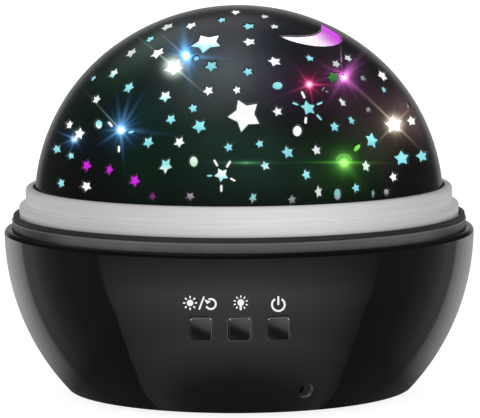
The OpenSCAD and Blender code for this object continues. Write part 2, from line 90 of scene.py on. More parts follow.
def make(name, verts, faces, body, mats, mat_index=None, normals=None, smooth=True, sharp=None,
         replaces=(), colours=None):
    """A piece from vertices in millimetres."""
    me = bpy.data.meshes.new(name)
    me.from_pydata([Vector(v) / 1000 for v in verts], [], [list(f) for f in faces])
    me.validate(clean_customdata=False)
    for m in mats:
        me.materials.append(m)
    if mat_index:
        me.polygons.foreach_set("material_index", mat_index)
    me.polygons.foreach_set("use_smooth", [bool(smooth)] * len(me.polygons))
    if colours:
        for key, cols in colours.items():
            at = me.color_attributes.new(key, "FLOAT_COLOR", "POINT")
            flat = []
            for c in cols:
                flat.extend((c[0], c[1], c[2], 1.0))
            at.data.foreach_set("color", flat)
    if sharp is not None:
        me.set_sharp_from_angle(angle=rad(sharp))
    if normals:
        me.normals_split_custom_set([tuple(n) for n in normals])
    me.update()
    ob = bpy.data.objects.new(name, me)
    scene.collection.objects.link(ob)
    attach(ob, body)
    if replaces:
        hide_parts(*replaces)
    return ob


def lathe(profile, n=360, closed=True):
    """Verts and faces of a closed profile [(r, z), ...], anticlockwise in the r-z plane, turned about Z."""
    verts, faces = [], []
    m = len(profile)
    for i in range(n):
        a = TAU * i / n
        for r, z in profile:
            verts.append((r * math.cos(a), r * math.sin(a), z))
    for i in range(n):
        j = (i + 1) % n
        for k in range(m):
            k2 = (k + 1) % m
            faces.append((i * m + k, j * m + k, j * m + k2, i * m + k2))
    return verts, faces


def arc(cx, cz, r, a0, a1, n):
    return [(cx + r * math.cos(rad(a0 + (a1 - a0) * i / n)), cz + r * math.sin(rad(a0 + (a1 - a0) * i / n)))
            for i in range(n + 1)]


def rrect(w, h, r, n=6):
    pts = []
    for cx, cy, a in ((w / 2 - r, h / 2 - r, 0), (-w / 2 + r, h / 2 - r, 90),
                      (-w / 2 + r, -h / 2 + r, 180), (w / 2 - r, -h / 2 + r, 270)):
        pts += arc(cx, cy, r, a, a + 90, n)
    return pts


class Rnd:
    """A small fixed random sequence, so each run gives the same result."""

    def __init__(self, seed):
        self.s = seed

    def __call__(self, a=0.0, b=1.0):
        self.s = (self.s * 1103515245 + 12345) % 2147483648
        return a + (b - a) * (self.s / 2147483648)


# ------------------------------------------------------------------ node help


class Nodes:
    def __init__(self, tree):
        self.t = tree
        self.x = -1600

    def new(self, kind, **props):
        n = self.t.nodes.new(kind)
        self.x += 12
        n.location = (self.x, 0)
        for k, v in props.items():
            setattr(n, k, v)
        return n

    def put(self, sock, v):
        if hasattr(v, "is_output") or isinstance(v, bpy.types.NodeSocket):
            self.t.links.new(v, sock)
        else:
            sock.default_value = v

    def math(self, op, a, b=None, c=None, clamp=False):
        n = self.new("ShaderNodeMath", operation=op, use_clamp=clamp)
        self.put(n.inputs[0], a)
        if b is not None:
            self.put(n.inputs[1], b)
        if c is not None:
            self.put(n.inputs[2], c)
        return n.outputs[0]

    def vmath(self, op, a, b=None, scale=None):
        n = self.new("ShaderNodeVectorMath", operation=op)
        self.put(n.inputs[0], a)
        if b is not None:
            self.put(n.inputs[1], b)
        if scale is not None:
            self.put(n.inputs["Scale"], scale)
        return n.outputs["Value"] if op in ("DOT_PRODUCT", "LENGTH", "DISTANCE") else n.outputs["Vector"]

    def ramp(self, v, a, b, lo=0.0, hi=1.0, smooth=True):
        """v mapped from a..b to lo..hi, clamped."""
        n = self.new("ShaderNodeMapRange", interpolation_type="SMOOTHSTEP" if smooth else "LINEAR")
        n.clamp = True
        self.put(n.inputs["Value"], v)
        self.put(n.inputs["From Min"], a)
        self.put(n.inputs["From Max"], b)
        self.put(n.inputs["To Min"], lo)
        self.put(n.inputs["To Max"], hi)
        return n.outputs["Result"]

    def mix(self, fac, a, b):
        n = self.new("ShaderNodeMix", data_type="RGBA")
        self.put(n.inputs["Factor"], fac)
        for sock, v in ((n.inputs["A"], a), (n.inputs["B"], b)):
            pass
        ia = [s for s in n.inputs if s.name == "A" and s.type == "RGBA"][0]
        ib = [s for s in n.inputs if s.name == "B" and s.type == "RGBA"][0]
        self.put(ia, a if not isinstance(a, tuple) else (*a[:3], 1.0))
        self.put(ib, b if not isinstance(b, tuple) else (*b[:3], 1.0))
        return [s for s in n.outputs if s.type == "RGBA"][0]

    def noise(self, vec, scale, detail=3.0, rough=0.5, dim="3D"):
        n = self.new("ShaderNodeTexNoise", noise_dimensions=dim)
        self.put(n.inputs["Vector"], vec)
        n.inputs["Scale"].default_value = scale
        n.inputs["Detail"].default_value = detail
        n.inputs["Roughness"].default_value = rough
        return n.outputs["Fac"]

    def obj(self):
        return self.new("ShaderNodeTexCoord").outputs["Object"]

    def scaled(self, vec, sx, sy, sz):
        n = self.new("ShaderNodeMapping")
        self.put(n.inputs["Vector"], vec)
        n.inputs["Scale"].default_value = (sx, sy, sz)
        return n.outputs["Vector"]

    def bump(self, height, strength, distance):
        n = self.new("ShaderNodeBump")
        n.inputs["Strength"].default_value = strength
        n.inputs["Distance"].default_value = distance
        self.put(n.inputs["Height"], height)
        return n.outputs["Normal"]


def material(name):
    m = bpy.data.materials.new(name)
    m.use_nodes = True
    nd = Nodes(m.node_tree)
    bsdf = next(n for n in m.node_tree.nodes if n.type == "BSDF_PRINCIPLED")
    return m, nd, bsdf


def moulded(name, dark, light, r0, r1, grain=900.0, bump=0.15, dist=0.00003, metallic=0.0, spec=0.5, ior=1.5,
            coat=0.0, coat_rough=0.05, streak=None, sheen=0.0, patch=60.0):
    """A moulded, painted or machined surface: colour drift, uneven gloss and a fine grain."""
    m, nd, b = material(name)
    p = nd.obj()
    drift = nd.noise(p, patch, 4.0, 0.6)
    fine = nd.noise(nd.scaled(p, *streak) if streak else p, grain, 2.0, 0.5)
    fac = nd.ramp(drift, 0.3, 0.7, 0.0, 1.0)
    both = nd.math("MULTIPLY_ADD", fine, 0.35, nd.math("MULTIPLY", fac, 0.65))
    nd.put(b.inputs["Base Color"], nd.mix(both, dark, light))
    nd.put(b.inputs["Roughness"], nd.ramp(both, 0.15, 0.85, r0, r1, smooth=False))
    if bump:
        nd.put(b.inputs["Normal"], nd.bump(fine, bump, dist))
    b.inputs["Metallic"].default_value = metallic
    b.inputs["IOR"].default_value = ior
    b.inputs["Specular IOR Level"].default_value = spec
    if coat:
        b.inputs["Coat Weight"].default_value = coat
        b.inputs["Coat Roughness"].default_value = coat_rough
    return m


# ------------------------------------------------------------------ materials

M = {}
M["gloss_black_abs"] = moulded("gloss_black", (0.0030, 0.0030, 0.0034), (0.0046, 0.0046, 0.0051), 0.030, 0.055,
                               grain=260, bump=0.015, dist=0.00002, patch=35)
M["rim_satin"] = moulded("bowl_rim", (0.0036, 0.0036, 0.0040), (0.0052, 0.0052, 0.0057), 0.08, 0.13, grain=1800, bump=0.05,
                         dist=0.00001, spec=0.10)
# the key windows' chamfer is a paler grey than the bowl: a painted highlight round each window
M["window_lip"] = moulded("window_lip", (0.075, 0.075, 0.077), (0.100, 0.100, 0.103), 0.32, 0.42, grain=1200,
                          bump=0.05, dist=0.00001)
M["socket_body"] = moulded("socket_body", (0.24, 0.24, 0.245), (0.30, 0.30, 0.305), 0.40, 0.55, grain=2200,
                           bump=0.3, dist=0.00002)
M["satin_charcoal_abs"] = moulded("satin_charcoal", (0.100, 0.100, 0.104), (0.128, 0.128, 0.133), 0.30, 0.40,
                                  grain=2600, bump=0.25, dist=0.00002, patch=90, spec=0.22)
M["satin_black_abs"] = moulded("satin_black", (0.018, 0.018, 0.019), (0.028, 0.028, 0.029), 0.42, 0.60,
                               grain=2200, bump=0.5, dist=0.00004, patch=70)
M["clear_ps"] = None
M["white_abs"] = moulded("white_moulded", (0.62, 0.62, 0.60), (0.74, 0.74, 0.72), 0.30, 0.42, grain=1200, bump=0.1)
M["white_pom"] = moulded("white_gear", (0.66, 0.65, 0.60), (0.78, 0.77, 0.72), 0.28, 0.40, grain=1400, bump=0.1)
M["black_rubber"] = moulded("black_rubber", (0.010, 0.010, 0.010), (0.022, 0.022, 0.021), 0.70, 0.88,
                            grain=1800, bump=0.6, dist=0.00005, spec=0.3)
M["zinc_steel"] = moulded("zinc_steel", (0.42, 0.43, 0.45), (0.60, 0.61, 0.63), 0.22, 0.38, grain=1500, bump=0.15,
                          metallic=1.0)
M["spring_steel"] = moulded("spring_steel", (0.34, 0.35, 0.36), (0.52, 0.52, 0.54), 0.18, 0.32, grain=1500,
                            bump=0.1, metallic=1.0)
M["brass_gearbox"] = moulded("brass_plate", (0.52, 0.36, 0.14), (0.68, 0.50, 0.22), 0.25, 0.40, grain=1300,
                             bump=0.15, metallic=1.0, streak=(1, 1, 0.1))
M["green_fr4"] = moulded("green_board", (0.008, 0.060, 0.022), (0.016, 0.100, 0.040), 0.25, 0.38, grain=1800,
                         bump=0.3, dist=0.00003)
M["black_epoxy"] = moulded("black_epoxy", (0.014, 0.014, 0.015), (0.024, 0.024, 0.025), 0.45, 0.62, grain=2400,
                           bump=0.4, dist=0.00003)
M["cell_wrap"] = moulded("cell_wrap", (0.010, 0.055, 0.16), (0.020, 0.090, 0.24), 0.18, 0.30, grain=500, bump=0.05)
M["wire_white"] = moulded("wire_white", (0.55, 0.55, 0.53), (0.66, 0.66, 0.64), 0.40, 0.52, grain=1500, bump=0.1)
M["wire_red"] = moulded("wire_red", (0.30, 0.012, 0.010), (0.44, 0.024, 0.018), 0.40, 0.52, grain=1500, bump=0.1)
M["wire_black"] = moulded("wire_black", (0.012, 0.012, 0.012), (0.022, 0.022, 0.022), 0.42, 0.55, grain=1500,
                          bump=0.1)
M["icon_ink"] = moulded("icon_ink", (0.90, 0.91, 0.92), (0.97, 0.97, 0.98), 0.45, 0.60, grain=3000, bump=0.2,
                        dist=0.00001)


M["collar_lip"] = moulded("collar_lip", (0.125, 0.125, 0.130), (0.155, 0.155, 0.160), 0.26, 0.34, grain=2600, bump=0.15,
                          dist=0.00001, patch=90, spec=0.35)


def painted_shade_ends(m, left, right):
    """Paints shade into a collar's moulding towards its left and its right end."""
    nd = Nodes(m.node_tree)
    b = next(n for n in m.node_tree.nodes if n.type == "BSDF_PRINCIPLED")
    base = b.inputs["Base Color"].links[0].from_socket
    sep = nd.new("ShaderNodeSeparateXYZ")
    nd.put(sep.inputs[0], nd.obj())
    k = nd.math("MULTIPLY", nd.ramp(sep.outputs[0], -0.0438, -0.0540, 1.0, left),
                nd.ramp(sep.outputs[0], 0.0488, 0.0565, 1.0, right))
    nd.put(b.inputs["Base Color"], nd.vmath("SCALE", base, scale=k))


# painted shade at both ends of the collar and of its lip
painted_shade_ends(M["satin_charcoal_abs"], 0.36, 0.50)
painted_shade_ends(M["collar_lip"], 0.60, 0.66)


def silver_paint():
    """Fine metallic paint with a faint turned grain round the ring, a painted sheen on the side facing the front, and
    painted light along the lower tier's bottom and on the step.
    """
    m, nd, b = material("silver_paint")
    p = nd.obj()
    turned = nd.noise(nd.scaled(p, 90, 90, 5200), 1.0, 3.0, 0.6)
    flake = nd.noise(p, 5200, 1.0, 0.5)
    drift = nd.noise(p, 42, 3.0, 0.5)
    mix1 = nd.math("MULTIPLY_ADD", turned, 0.45, nd.math("MULTIPLY", flake, 0.35))
    mix2 = nd.math("MULTIPLY_ADD", drift, 0.20, mix1)
    paint = nd.mix(nd.ramp(mix2, 0.35, 0.65, 0, 1), (0.78, 0.785, 0.79), (0.87, 0.87, 0.872))
    sep = nd.new("ShaderNodeSeparateXYZ")
    nd.put(sep.inputs[0], p)
    # painted sheen: the colour is brightened on the side of the ring facing the front, a little to its right, and
    # darkened towards its sides
    at = nd.new("ShaderNodeSeparateXYZ")
    nd.put(at.inputs[0], nd.new("ShaderNodeNewGeometry").outputs["Position"])
    fore = nd.math("MULTIPLY_ADD", at.outputs[0], 0.139, nd.math("MULTIPLY", at.outputs[1], -0.990))
    y2 = nd.math("POWER", nd.math("MAXIMUM", fore, 0.0), 2.0)
    r2 = nd.math("MULTIPLY_ADD", at.outputs[0], at.outputs[0], nd.math("MULTIPLY", at.outputs[1], at.outputs[1]))
    sheen = nd.math("POWER", nd.math("DIVIDE", y2, nd.math("MAXIMUM", r2, 1e-6)), 3.0)
    k = nd.math("MULTIPLY_ADD", sheen, 0.29, 0.71)
    nd.put(b.inputs["Base Color"], nd.vmath("SCALE", paint, scale=k))
    b.inputs["Emission Color"].default_value = (0.95, 0.95, 1.0, 1)
    # painted light: a faint glow along the bottom of the lower tier, where the rim band shades it, and a painted
    # highlight along the step between the tiers
    low = nd.math("MULTIPLY", nd.ramp(sep.outputs[2], 0.0514, 0.0498, 0.0, 0.10), k)
    step = nd.math("MULTIPLY", nd.ramp(sep.outputs[2], 0.0520, 0.0525, 0.0, 0.095), nd.ramp(sep.outputs[2], 0.0545, 0.0528))
    nd.put(b.inputs["Emission Strength"], nd.math("ADD", low, step))
    nd.put(b.inputs["Roughness"], nd.ramp(mix2, 0.35, 0.65, 0.30, 0.44, smooth=False))
    nd.put(b.inputs["Normal"], nd.bump(mix1, 0.12, 0.00002))
    b.inputs["Metallic"].default_value = 0.12
    b.inputs["Specular IOR Level"].default_value = 0.5
    return m


M["silver_paint"] = silver_paint()


def lamp_glass(name, body, glow, strength):
    m, nd, b = material(name)
    p = nd.obj()
    n = nd.noise(p, 300, 2.0, 0.5)
    nd.put(b.inputs["Base Color"], nd.mix(n, tuple(c * 0.8 for c in body), body))
    nd.put(b.inputs["Roughness"], nd.ramp(n, 0.3, 0.7, 0.05, 0.12))
    b.inputs["Transmission Weight"].default_value = 0.35
    nd.put(b.inputs["Emission Color"], nd.mix(n, glow, tuple(min(1.0, c * 1.15 + 0.03) for c in glow)))
    b.inputs["Emission Strength"].default_value = strength
    m.cycles.emission_sampling = "NONE"
    return m


M["led_white"] = lamp_glass("lamp_white", (0.85, 0.84, 0.80), (1.0, 0.90, 0.72), 3.0)
M["led_red"] = lamp_glass("lamp_red", (0.80, 0.10, 0.08), (1.0, 0.05, 0.03), 2.0)
M["led_green"] = lamp_glass("lamp_green", (0.10, 0.75, 0.20), (0.06, 1.0, 0.12), 2.0)
M["led_blue"] = lamp_glass("lamp_blue", (0.10, 0.20, 0.85), (0.05, 0.15, 1.0), 2.4)


def clear_dome():
    """The clear dome under the skin, lit softly from within."""
    m, nd, b = material("clear_dome")
    p = nd.obj()
    n = nd.noise(p, 60, 3.0, 0.5)
    f = nd.noise(p, 700, 2.0, 0.5)
    nd.put(b.inputs["Base Color"], nd.mix(n, (0.035, 0.040, 0.045), (0.060, 0.066, 0.074)))
    nd.put(b.inputs["Roughness"], nd.ramp(f, 0.3, 0.7, 0.14, 0.24))
    nd.put(b.inputs["Normal"], nd.bump(f, 0.05, 0.00003))
    return m


M["clear_ps"] = clear_dome()

# ------------------------------------------------------------------ dome

DC = Vector((0, 0, 52.0))
TH_JOIN = rad(40.03)
SKIN_T = 0.6


def dome_point(th, az, depth=0.0):
    """A point and outward normal of the dome, th from the pole, az from -Y towards +X."""
    c, s = math.cos(th), math.sin(th)
    if th <= TH_JOIN:
        r = -3.9 * c + math.sqrt((3.9 * c) ** 2 + 58.5204 ** 2 - 3.9 ** 2)
        pr, pz = r * s, r * c
        nr, nz = pr / 58.5204, (pz + 3.9) / 58.5204
    else:
        r = 3.0 * s + math.sqrt(max(0, (3.0 * s) ** 2 + 53.6 ** 2 - 3.0 ** 2))
        pr, pz = r * s, r * c
        nr, nz = (pr - 3.0) / 53.6, pz / 53.6
    pr, pz = pr - nr * depth, pz - nz * depth
    sa, ca = math.sin(az), -math.cos(az)
    return Vector((pr * sa, pr * ca, 52.0 + pz)), Vector((nr * sa, nr * ca, nz)).normalized()


def direction(az, el):
    return Vector((math.cos(el) * math.sin(az), -math.cos(el) * math.cos(az), math.sin(el)))


def tangent(d):
    e = Vector((-d.y, d.x, 0.0))
    e = e.normalized() if e.length > 1e-6 else Vector((1, 0, 0))
    return e, d.cross(e)


def dome_hit(px, py):
    """Azimuth and elevation in degrees, seen from the dome's centre, of a pixel on the dome."""
    d = ray(px, py)
    t = (DC - CAM_POS).dot(d)
    lo, hi = t - 70, t

    def inside(s):
        q = CAM_POS + d * s - DC
        th = math.acos(max(-1, min(1, q.z / q.length)))
        p, _ = dome_point(th, 0)
        return q.length - (p - DC).length

    if inside(hi) > 0:
        return None
    for _ in range(40):
        mid = (lo + hi) / 2
        if inside(mid) > 0:
            lo = mid
        else:
            hi = mid
    q = CAM_POS + d * hi - DC
    return deg(math.atan2(q.x, -q.y)), deg(math.asin(q.z / q.length))


# Windows on the front, as laid out in the front view: x, y and point radius in pixels of that view, turn,
# how far the outline is squeezed towards the dome's edge, light.
# W white, V off-white, C cyan, D white over cyan, E cyan over white, S the large one, M magenta, m and P dim,
# G and g grey, N green, T cyan over grey, K gold, B blue-white, H hot, L and F pale and leaf green
STARS = [
    (235.6, 11.2, 5.3, 33, 0.45, "W"), (221.7, 18.9, 4.1, 20, 0.63, "C"), (190.7, 24.6, 6.3, 37, 0.5, "W"),
    (166.8, 25.9, 7.6, 28, 0.42, "G"), (149.6, 38.2, 4.8, 38, 0.55, "C"), (130.7, 52, 6.9, 47, 0.51, "G"),
    (157.1, 52.3, 8.4, 39, 0.53, "W"), (206.4, 41.8, 16.5, 28, 0.57, "S"), (173.3, 66.3, 9, 39, 0.75, "H"),
    (211.1, 65.1, 6.6, 32, 0.78, "C"), (112.9, 72.7, 6.2, 45, 0.55, "D"), (92.7, 77.6, 3.2, 45, 0.54, "C"),
    (128.1, 86.9, 6.6, 46, 0.67, "C"), (208.1, 89.9, 5.3, 26, 0.87, "W"), (236.9, 89.1, 3.9, 16, 1, "W"),
    (164.8, 95.7, 6.6, 38, 0.82, "D"), (95.7, 98.7, 4.7, 49, 0.76, "V"), (192.7, 107.5, 4.4, 15, 1, "C"),
    (244.7, 114.2, 16.8, 24, 1, "W"), (170.4, 118.7, 5.3, 36, 0.88, "C"), (199.1, 125.7, 7.2, 28, 0.95, "C"),
    (120.5, 130, 3.6, 46, 1, "B"), (68.4, 124.2, 4.2, 66, 0.75, "W"), (78.3, 133.2, 6, 62, 0.85, "W"),
    (147.6, 141.8, 5.9, 40, 0.87, "C"), (178.9, 141.6, 5.7, 40, 0.83, "W"), (55.5, 148.8, 4.1, 19, 1, "C"),
    (69.8, 155.4, 3.2, 16, 1, "C"), (228.5, 146.8, 4.5, 16, 1, "C"), (165.1, 165.4, 8, 37, 0.75, "E"),
    (85.6, 165.3, 5.8, 44, 0.75, "M"), (108.5, 169.6, 5.1, 49, 0.69, "M"), (221.4, 174.6, 7.2, 27, 1, "D"),
    (60, 183.1, 4.4, 18, 0.82, "C"), (85.2, 186.2, 4.8, 28, 1, "W"), (133.9, 180.4, 6.1, 45, 0.82, "M"),
    (151.8, 196.3, 3.8, 42, 0.83, "m"), (189.8, 196.5, 4.4, 40, 1, "P"), (264.8, 15.5, 4.9, 20, 0.43, "G"),
    (248.7, 25.3, 6.8, 21, 0.48, "C"), (274.6, 25.6, 4.4, 6, 0.55, "V"), (249.3, 40.8, 6.7, 20, 0.6, "W"),
    (274.9, 60.5, 7.1, 18, 0.65, "W"), (310.1, 57.3, 4.9, 7, 0.57, "C"), (248.1, 70.8, 5.1, 24, 0.79, "C"),
    (336.7, 62.9, 4.4, 53, 0.8, "G"), (348.7, 57.2, 4.4, 44, 0.7, "G"), (333.8, 76.6, 6.2, 20, 0.9, "N"),
    (363.8, 77.5, 4.2, 60, 0.6, "g"), (383.3, 75, 6.4, 32, 0.55, "W"), (384.7, 89, 3.1, 5, 0.65, "C"),
    (308.6, 107.4, 8.6, 11, 0.78, "C"), (342.9, 101.6, 5.6, 7, 0.47, "V"), (369.3, 109.1, 3, 66, 0.87, "g"),
    (409, 105.5, 2.2, 64, 0.6, "g"), (277.9, 110.8, 4.9, 17, 0.88, "W"), (352.1, 119.9, 4.9, 66, 0.56, "C"),
    (335.3, 126.2, 5.1, 0, 0.82, "C"), (394.4, 124.2, 8, 8, 0.95, "K"), (412.7, 120.4, 5, 13, 0.85, "W"),
    (372.6, 140, 8.2, 62, 0.72, "C"), (259.9, 143.4, 4, 19, 1, "C"), (288.2, 152, 6.7, 15, 0.83, "C"),
    (317.1, 149.8, 5, 13, 0.85, "V"), (403.1, 157.8, 7.4, 7, 1, "C"), (423.4, 155.7, 6, 16, 0.9, "C"),
    (265.4, 165.3, 4.9, 18, 0.89, "E"), (366.8, 165.9, 5.6, 68, 0.7, "L"), (306.9, 174.6, 5.3, 21, 0.78, "C"),
    (394.4, 176.9, 4.5, 19, 0.75, "W"), (319.1, 191.7, 6.1, 12, 0.56, "V"), (356.8, 187.9, 4.6, 19, 0.77, "C"),
    (373.7, 193.8, 4.4, 64, 0.39, "c"), (253.2, 197.8, 5.6, 25, 0.68, "T"), (292.5, 199.7, 4.6, 8, 0.85, "g"),
]
# Round, oval and leaf-shaped dots: x, y, half width, half height, turn, light.
OVALS = [
    (97.8, 123.7, 3.0, 4.0, 0, "E"), (193.3, 161.2, 3.8, 4.9, 0, "L"), (277.8, 84.7, 4.9, 3.4, 0, "C"),
    (297.8, 130.3, 4.1, 4.9, 0, "W"), (338.3, 194.2, 2.9, 5.4, 0, "T"), (387.5, 192.2, 2.1, 3.2, 0, "P"),
    (358.0, 147.5, 1.9, 4.0, -38, "F"), (196.0, 57.8, 2.6, 1.3, 20, "C"), (342.0, 76.6, 1.5, 2.7, -20, "V"),
]
BURSTS = ((308.6, 107.4), (221.4, 174.6), (120.5, 130))
# Short rays round the burst stars: x, y, length, width, angle, light.
RAYS = [
    (109.5, 123.8, 6.3, 2.0, -50, "W"), (130.3, 131.6, 5.4, 2.0, 12, "C"), (118.2, 148.7, 6.4, 1.9, 90, "W"),
    (215.6, 162.6, 7.4, 2.0, -60, "W"), (228.4, 163.8, 7.4, 2.0, 58, "W"), (209.4, 175.5, 6.4, 1.9, 3, "C"),
    (232.7, 179.4, 6.8, 1.9, -28, "W"), (221.2, 188.2, 6.8, 2.0, 90, "W"), (295.8, 103.2, 7.2, 1.8, -20, "C"),
    (320.0, 102.8, 7.2, 1.8, 24, "C"), (319.6, 116.8, 7.8, 2.0, -48, "C"), (306.2, 119.8, 6.4, 2.0, 86, "W"),
    (303.6, 94.2, 7.4, 2.0, -66, "W"), (323.6, 88.4, 4.6, 1.3, 55, "g"), (327.4, 91.0, 3.4, 1.2, -28, "g"),
]
# The crescent: its outer and its inner edge, from tip to tip.
MOON_OUT = [(281.0, 36.1), (288.5, 39.3), (297, 41.9), (306, 43.9), (315, 45.2), (323.5, 45.6), (331.5, 44.9),
            (338, 43.1), (341.3, 40.2), (341.2, 36.6), (337.5, 32.6), (330.5, 28.2), (321.5, 23.2)]
MOON_IN = [(281.0, 36.1), (286, 35.9), (292, 36.1), (298, 36.2), (304, 36.0), (309.5, 35.5), (314.5, 34.6),
           (318.5, 33.0), (321.3, 30.8), (322.6, 28.4), (322.6, 26.3), (322.1, 24.6), (321.5, 23.2)]

LIGHT = {  # upper and lower colour of a window, linear
    "W": ((1.05, 1.06, 1.08), (0.97, 1.00, 1.02)), "V": ((0.76, 0.80, 0.80), (0.72, 0.78, 0.78)),
    "C": ((0.30, 0.78, 0.84), (0.19, 0.66, 0.75)), "D": ((0.92, 1.00, 1.02), (0.30, 0.78, 0.84)),
    "E": ((0.30, 0.82, 0.82), (0.80, 0.96, 0.94)), "S": ((1.02, 1.06, 1.08), (0.30, 0.86, 0.92)),
    "M": ((0.58, 0.010, 0.68), (0.54, 0.002, 0.64)), "m": ((0.19, 0.015, 0.20), (0.14, 0.020, 0.15)),
    "G": ((0.62, 0.66, 0.66), (0.56, 0.62, 0.62)), "g": ((0.28, 0.30, 0.31), (0.15, 0.16, 0.16)),
    "P": ((0.34, 0.30, 0.35), (0.11, 0.08, 0.11)), "T": ((0.22, 0.60, 0.58), (0.30, 0.36, 0.37)),
    "c": ((0.20, 0.44, 0.42), (0.10, 0.24, 0.24)), "N": ((0.030, 0.24, 0.035), (0.012, 0.13, 0.018)),
    "K": ((2.6, 2.5, 2.2), (2.4, 2.2, 1.9)), "B": ((1.5, 2.2, 2.6), (1.2, 2.0, 2.6)),
    "H": ((2.4, 2.7, 2.5), (2.2, 2.6, 2.4)), "L": ((0.80, 1.02, 0.84), (0.60, 0.88, 0.68)),
    "F": ((0.22, 0.80, 0.08), (0.12, 0.62, 0.04)),
}

windows = []  # one entry per window, with its outline and the two outlines of its chamfer


def star_loop(r, rot, off, k=0.55):
    out = []
    for i in range(10):
        a = rad(90 + rot + 36 * i)
        q = (r + 1.5 * off) if i % 2 == 0 else (k * r + 1.05 * off)
        out.append((q * math.cos(a), q * math.sin(a)))
    return out


def oval_loop(a, b, rot, off, n=14):
    t = rad(rot)
    return [((a + off) * math.cos(TAU * i / n) * math.cos(t) - (b + off) * math.sin(TAU * i / n) * math.sin(t),
             (a + off) * math.cos(TAU * i / n) * math.sin(t) + (b + off) * math.sin(TAU * i / n) * math.cos(t))
            for i in range(n)]


def ray_loop(length, width, rot, off):
    t = rad(rot)
    w = width / 2 + off
    h = length / 2 - width / 2
    pts = [(h + w * math.cos(rad(a)), w * math.sin(rad(a))) for a in (-90, -45, 0, 45, 90)] + \
          [(-h + w * math.cos(rad(a)), w * math.sin(rad(a))) for a in (90, 135, 180, 225, 270)]
    return [(x * math.cos(t) - y * math.sin(t), x * math.sin(t) + y * math.cos(t)) for x, y in pts]


def crescent_loop(off, n=14):
    """The moon between two circles, with its tips cut just short."""
    o1, r1 = Vector((3.10, 10.31)), 12.2 + off
    o2, r2 = Vector((-1.65, 22.92)), 19.57 - off
    dv = o2 - o1
    d = dv.length
    a = (r1 * r1 - r2 * r2 + d * d) / (2 * d)
    h = math.sqrt(r1 * r1 - a * a)
    u = dv / d
    v = Vector((u.y, -u.x))
    t1, t2 = o1 + u * a - v * h, o1 + u * a + v * h

    def run(o, p, q, rr):
        a0, a1 = math.atan2(p.y - o.y, p.x - o.x), math.atan2(q.y - o.y, q.x - o.x)
        while a1 < a0:
            a1 += TAU
        return [(o.x + rr * math.cos(a0 + (a1 - a0) * i / n), o.y + rr * math.sin(a0 + (a1 - a0) * i / n))
                for i in range(n + 1)]

    return run(o1, t1, t2, r1) + run(o2, t1, t2, r2)[-2:0:-1]


def place(w, x, y):
    """Pole angle and azimuth of a point given in a window's own plane."""
    e, n = tangent(w["d"])
    q = (w["d"] * 56.4 + e * x + n * y).normalized()
    return math.acos(max(-1.0, min(1.0, q.z))), math.atan2(q.x, -q.y)


def to_plane(th, az):
    return (56.0 * th * math.sin(az), -56.0 * th * math.cos(az))


def outline(w):
    """A window's chamfer outline in the flat map of the dome, and its box."""
    pts = [to_plane(*place(w, x, y)) for x, y in w["a"]]
    return pts, (min(p[0] for p in pts), min(p[1] for p in pts), max(p[0] for p in pts), max(p[1] for p in pts))


def cross_or_touch(p, q, gap=0.16):
    """Whether two closed outlines cross, nest or come closer than the gap."""
    def dist(a, b, c):
        dx, dy = c[0] - b[0], c[1] - b[1]
        t = max(0.0, min(1.0, ((a[0] - b[0]) * dx + (a[1] - b[1]) * dy) / (dx * dx + dy * dy + 1e-12)))
        return math.hypot(a[0] - b[0] - t * dx, a[1] - b[1] - t * dy)

    def within(a, loop):
        inside = False
        for i in range(len(loop)):
            x0, y0 = loop[i]
            x1, y1 = loop[(i + 1) % len(loop)]
            if (y0 > a[1]) != (y1 > a[1]) and a[0] < (x1 - x0) * (a[1] - y0) / (y1 - y0) + x0:
                inside = not inside
        return inside

    for one, two in ((p, q), (q, p)):
        for a in one:
            if within(a, two):
                return True
            for i in range(len(two)):
                if dist(a, two[i], two[(i + 1) % len(two)]) < gap:
                    return True
    return False


def free(w):
    pts, box = outline(w)
    w["map"], w["box"] = pts, box
    for o in windows:
        b = o["box"]
        if box[0] > b[2] + 0.4 or b[0] > box[2] + 0.4 or box[1] > b[3] + 0.4 or b[1] > box[3] + 0.4:
            continue
        if cross_or_touch(pts, o["map"]):
            return False
    return True


def add_window(az, el, kind, light, make_loop, shrink=True, fine=False):
    for i in range(9 if kind != "ray" else 13):
        k = 1.0 - 0.07 * i if kind != "ray" else 1.0 - 0.05 * i
        w = {"d": direction(rad(az), rad(el)), "az": az, "el": el, "kind": kind, "light": light, "k": k,
             "fill": make_loop(0.0, k), "b": make_loop(0.12 if fine else 0.24, k),
             "a": make_loop(0.22 if fine else 0.42, k)}
        if free(w):
            windows.append(w)
            return True
        if not shrink:
            return False
    return False


def front_frame(px, py, most=4.5):
    """Where a point of the front view lies on the dome, and a map from offsets in that view to its tangent plane."""
    az, el = dome_hit(px, py)
    p, nn = dome_point(rad(90 - el), rad(az))
    e, n = tangent(direction(rad(az), rad(el)))
    to_cam = (CAM_POS - p).normalized()
    mm = (CAM_POS - p).dot(TO_VIEW) / F_PX
    c = max(0.05, nn.dot(to_cam))
    g = to_cam - nn * nn.dot(to_cam)
    g = g.normalized() if g.length > 1e-5 else e
    hold = min(1.0, most * c) - 1.0

    def spread(dx, dy):
        u = RIGHT * (dx * mm) + UP * (dy * mm)
        t = u - to_cam * (u.dot(nn) / c)
        t = t + g * (t.dot(g) * hold)
        return (t.dot(e), t.dot(n))

    return az, el, mm, spread


def add_front(px, py, kind, light, shape, q=1.0, fine=False):
    az, el, mm, spread = front_frame(px, py)
    ph = math.atan2(-(py - 193.0), px - 239.0)
    c, s = math.cos(ph), math.sin(ph)

    def loop(off, k):
        out = []
        for x, y in shape(off / mm, k):
            u, v = (x * c + y * s) * q, -x * s + y * c
            out.append(spread(u * c - v * s, u * s + v * c))
        return out

    add_window(az, el, kind, light, loop, fine=fine)


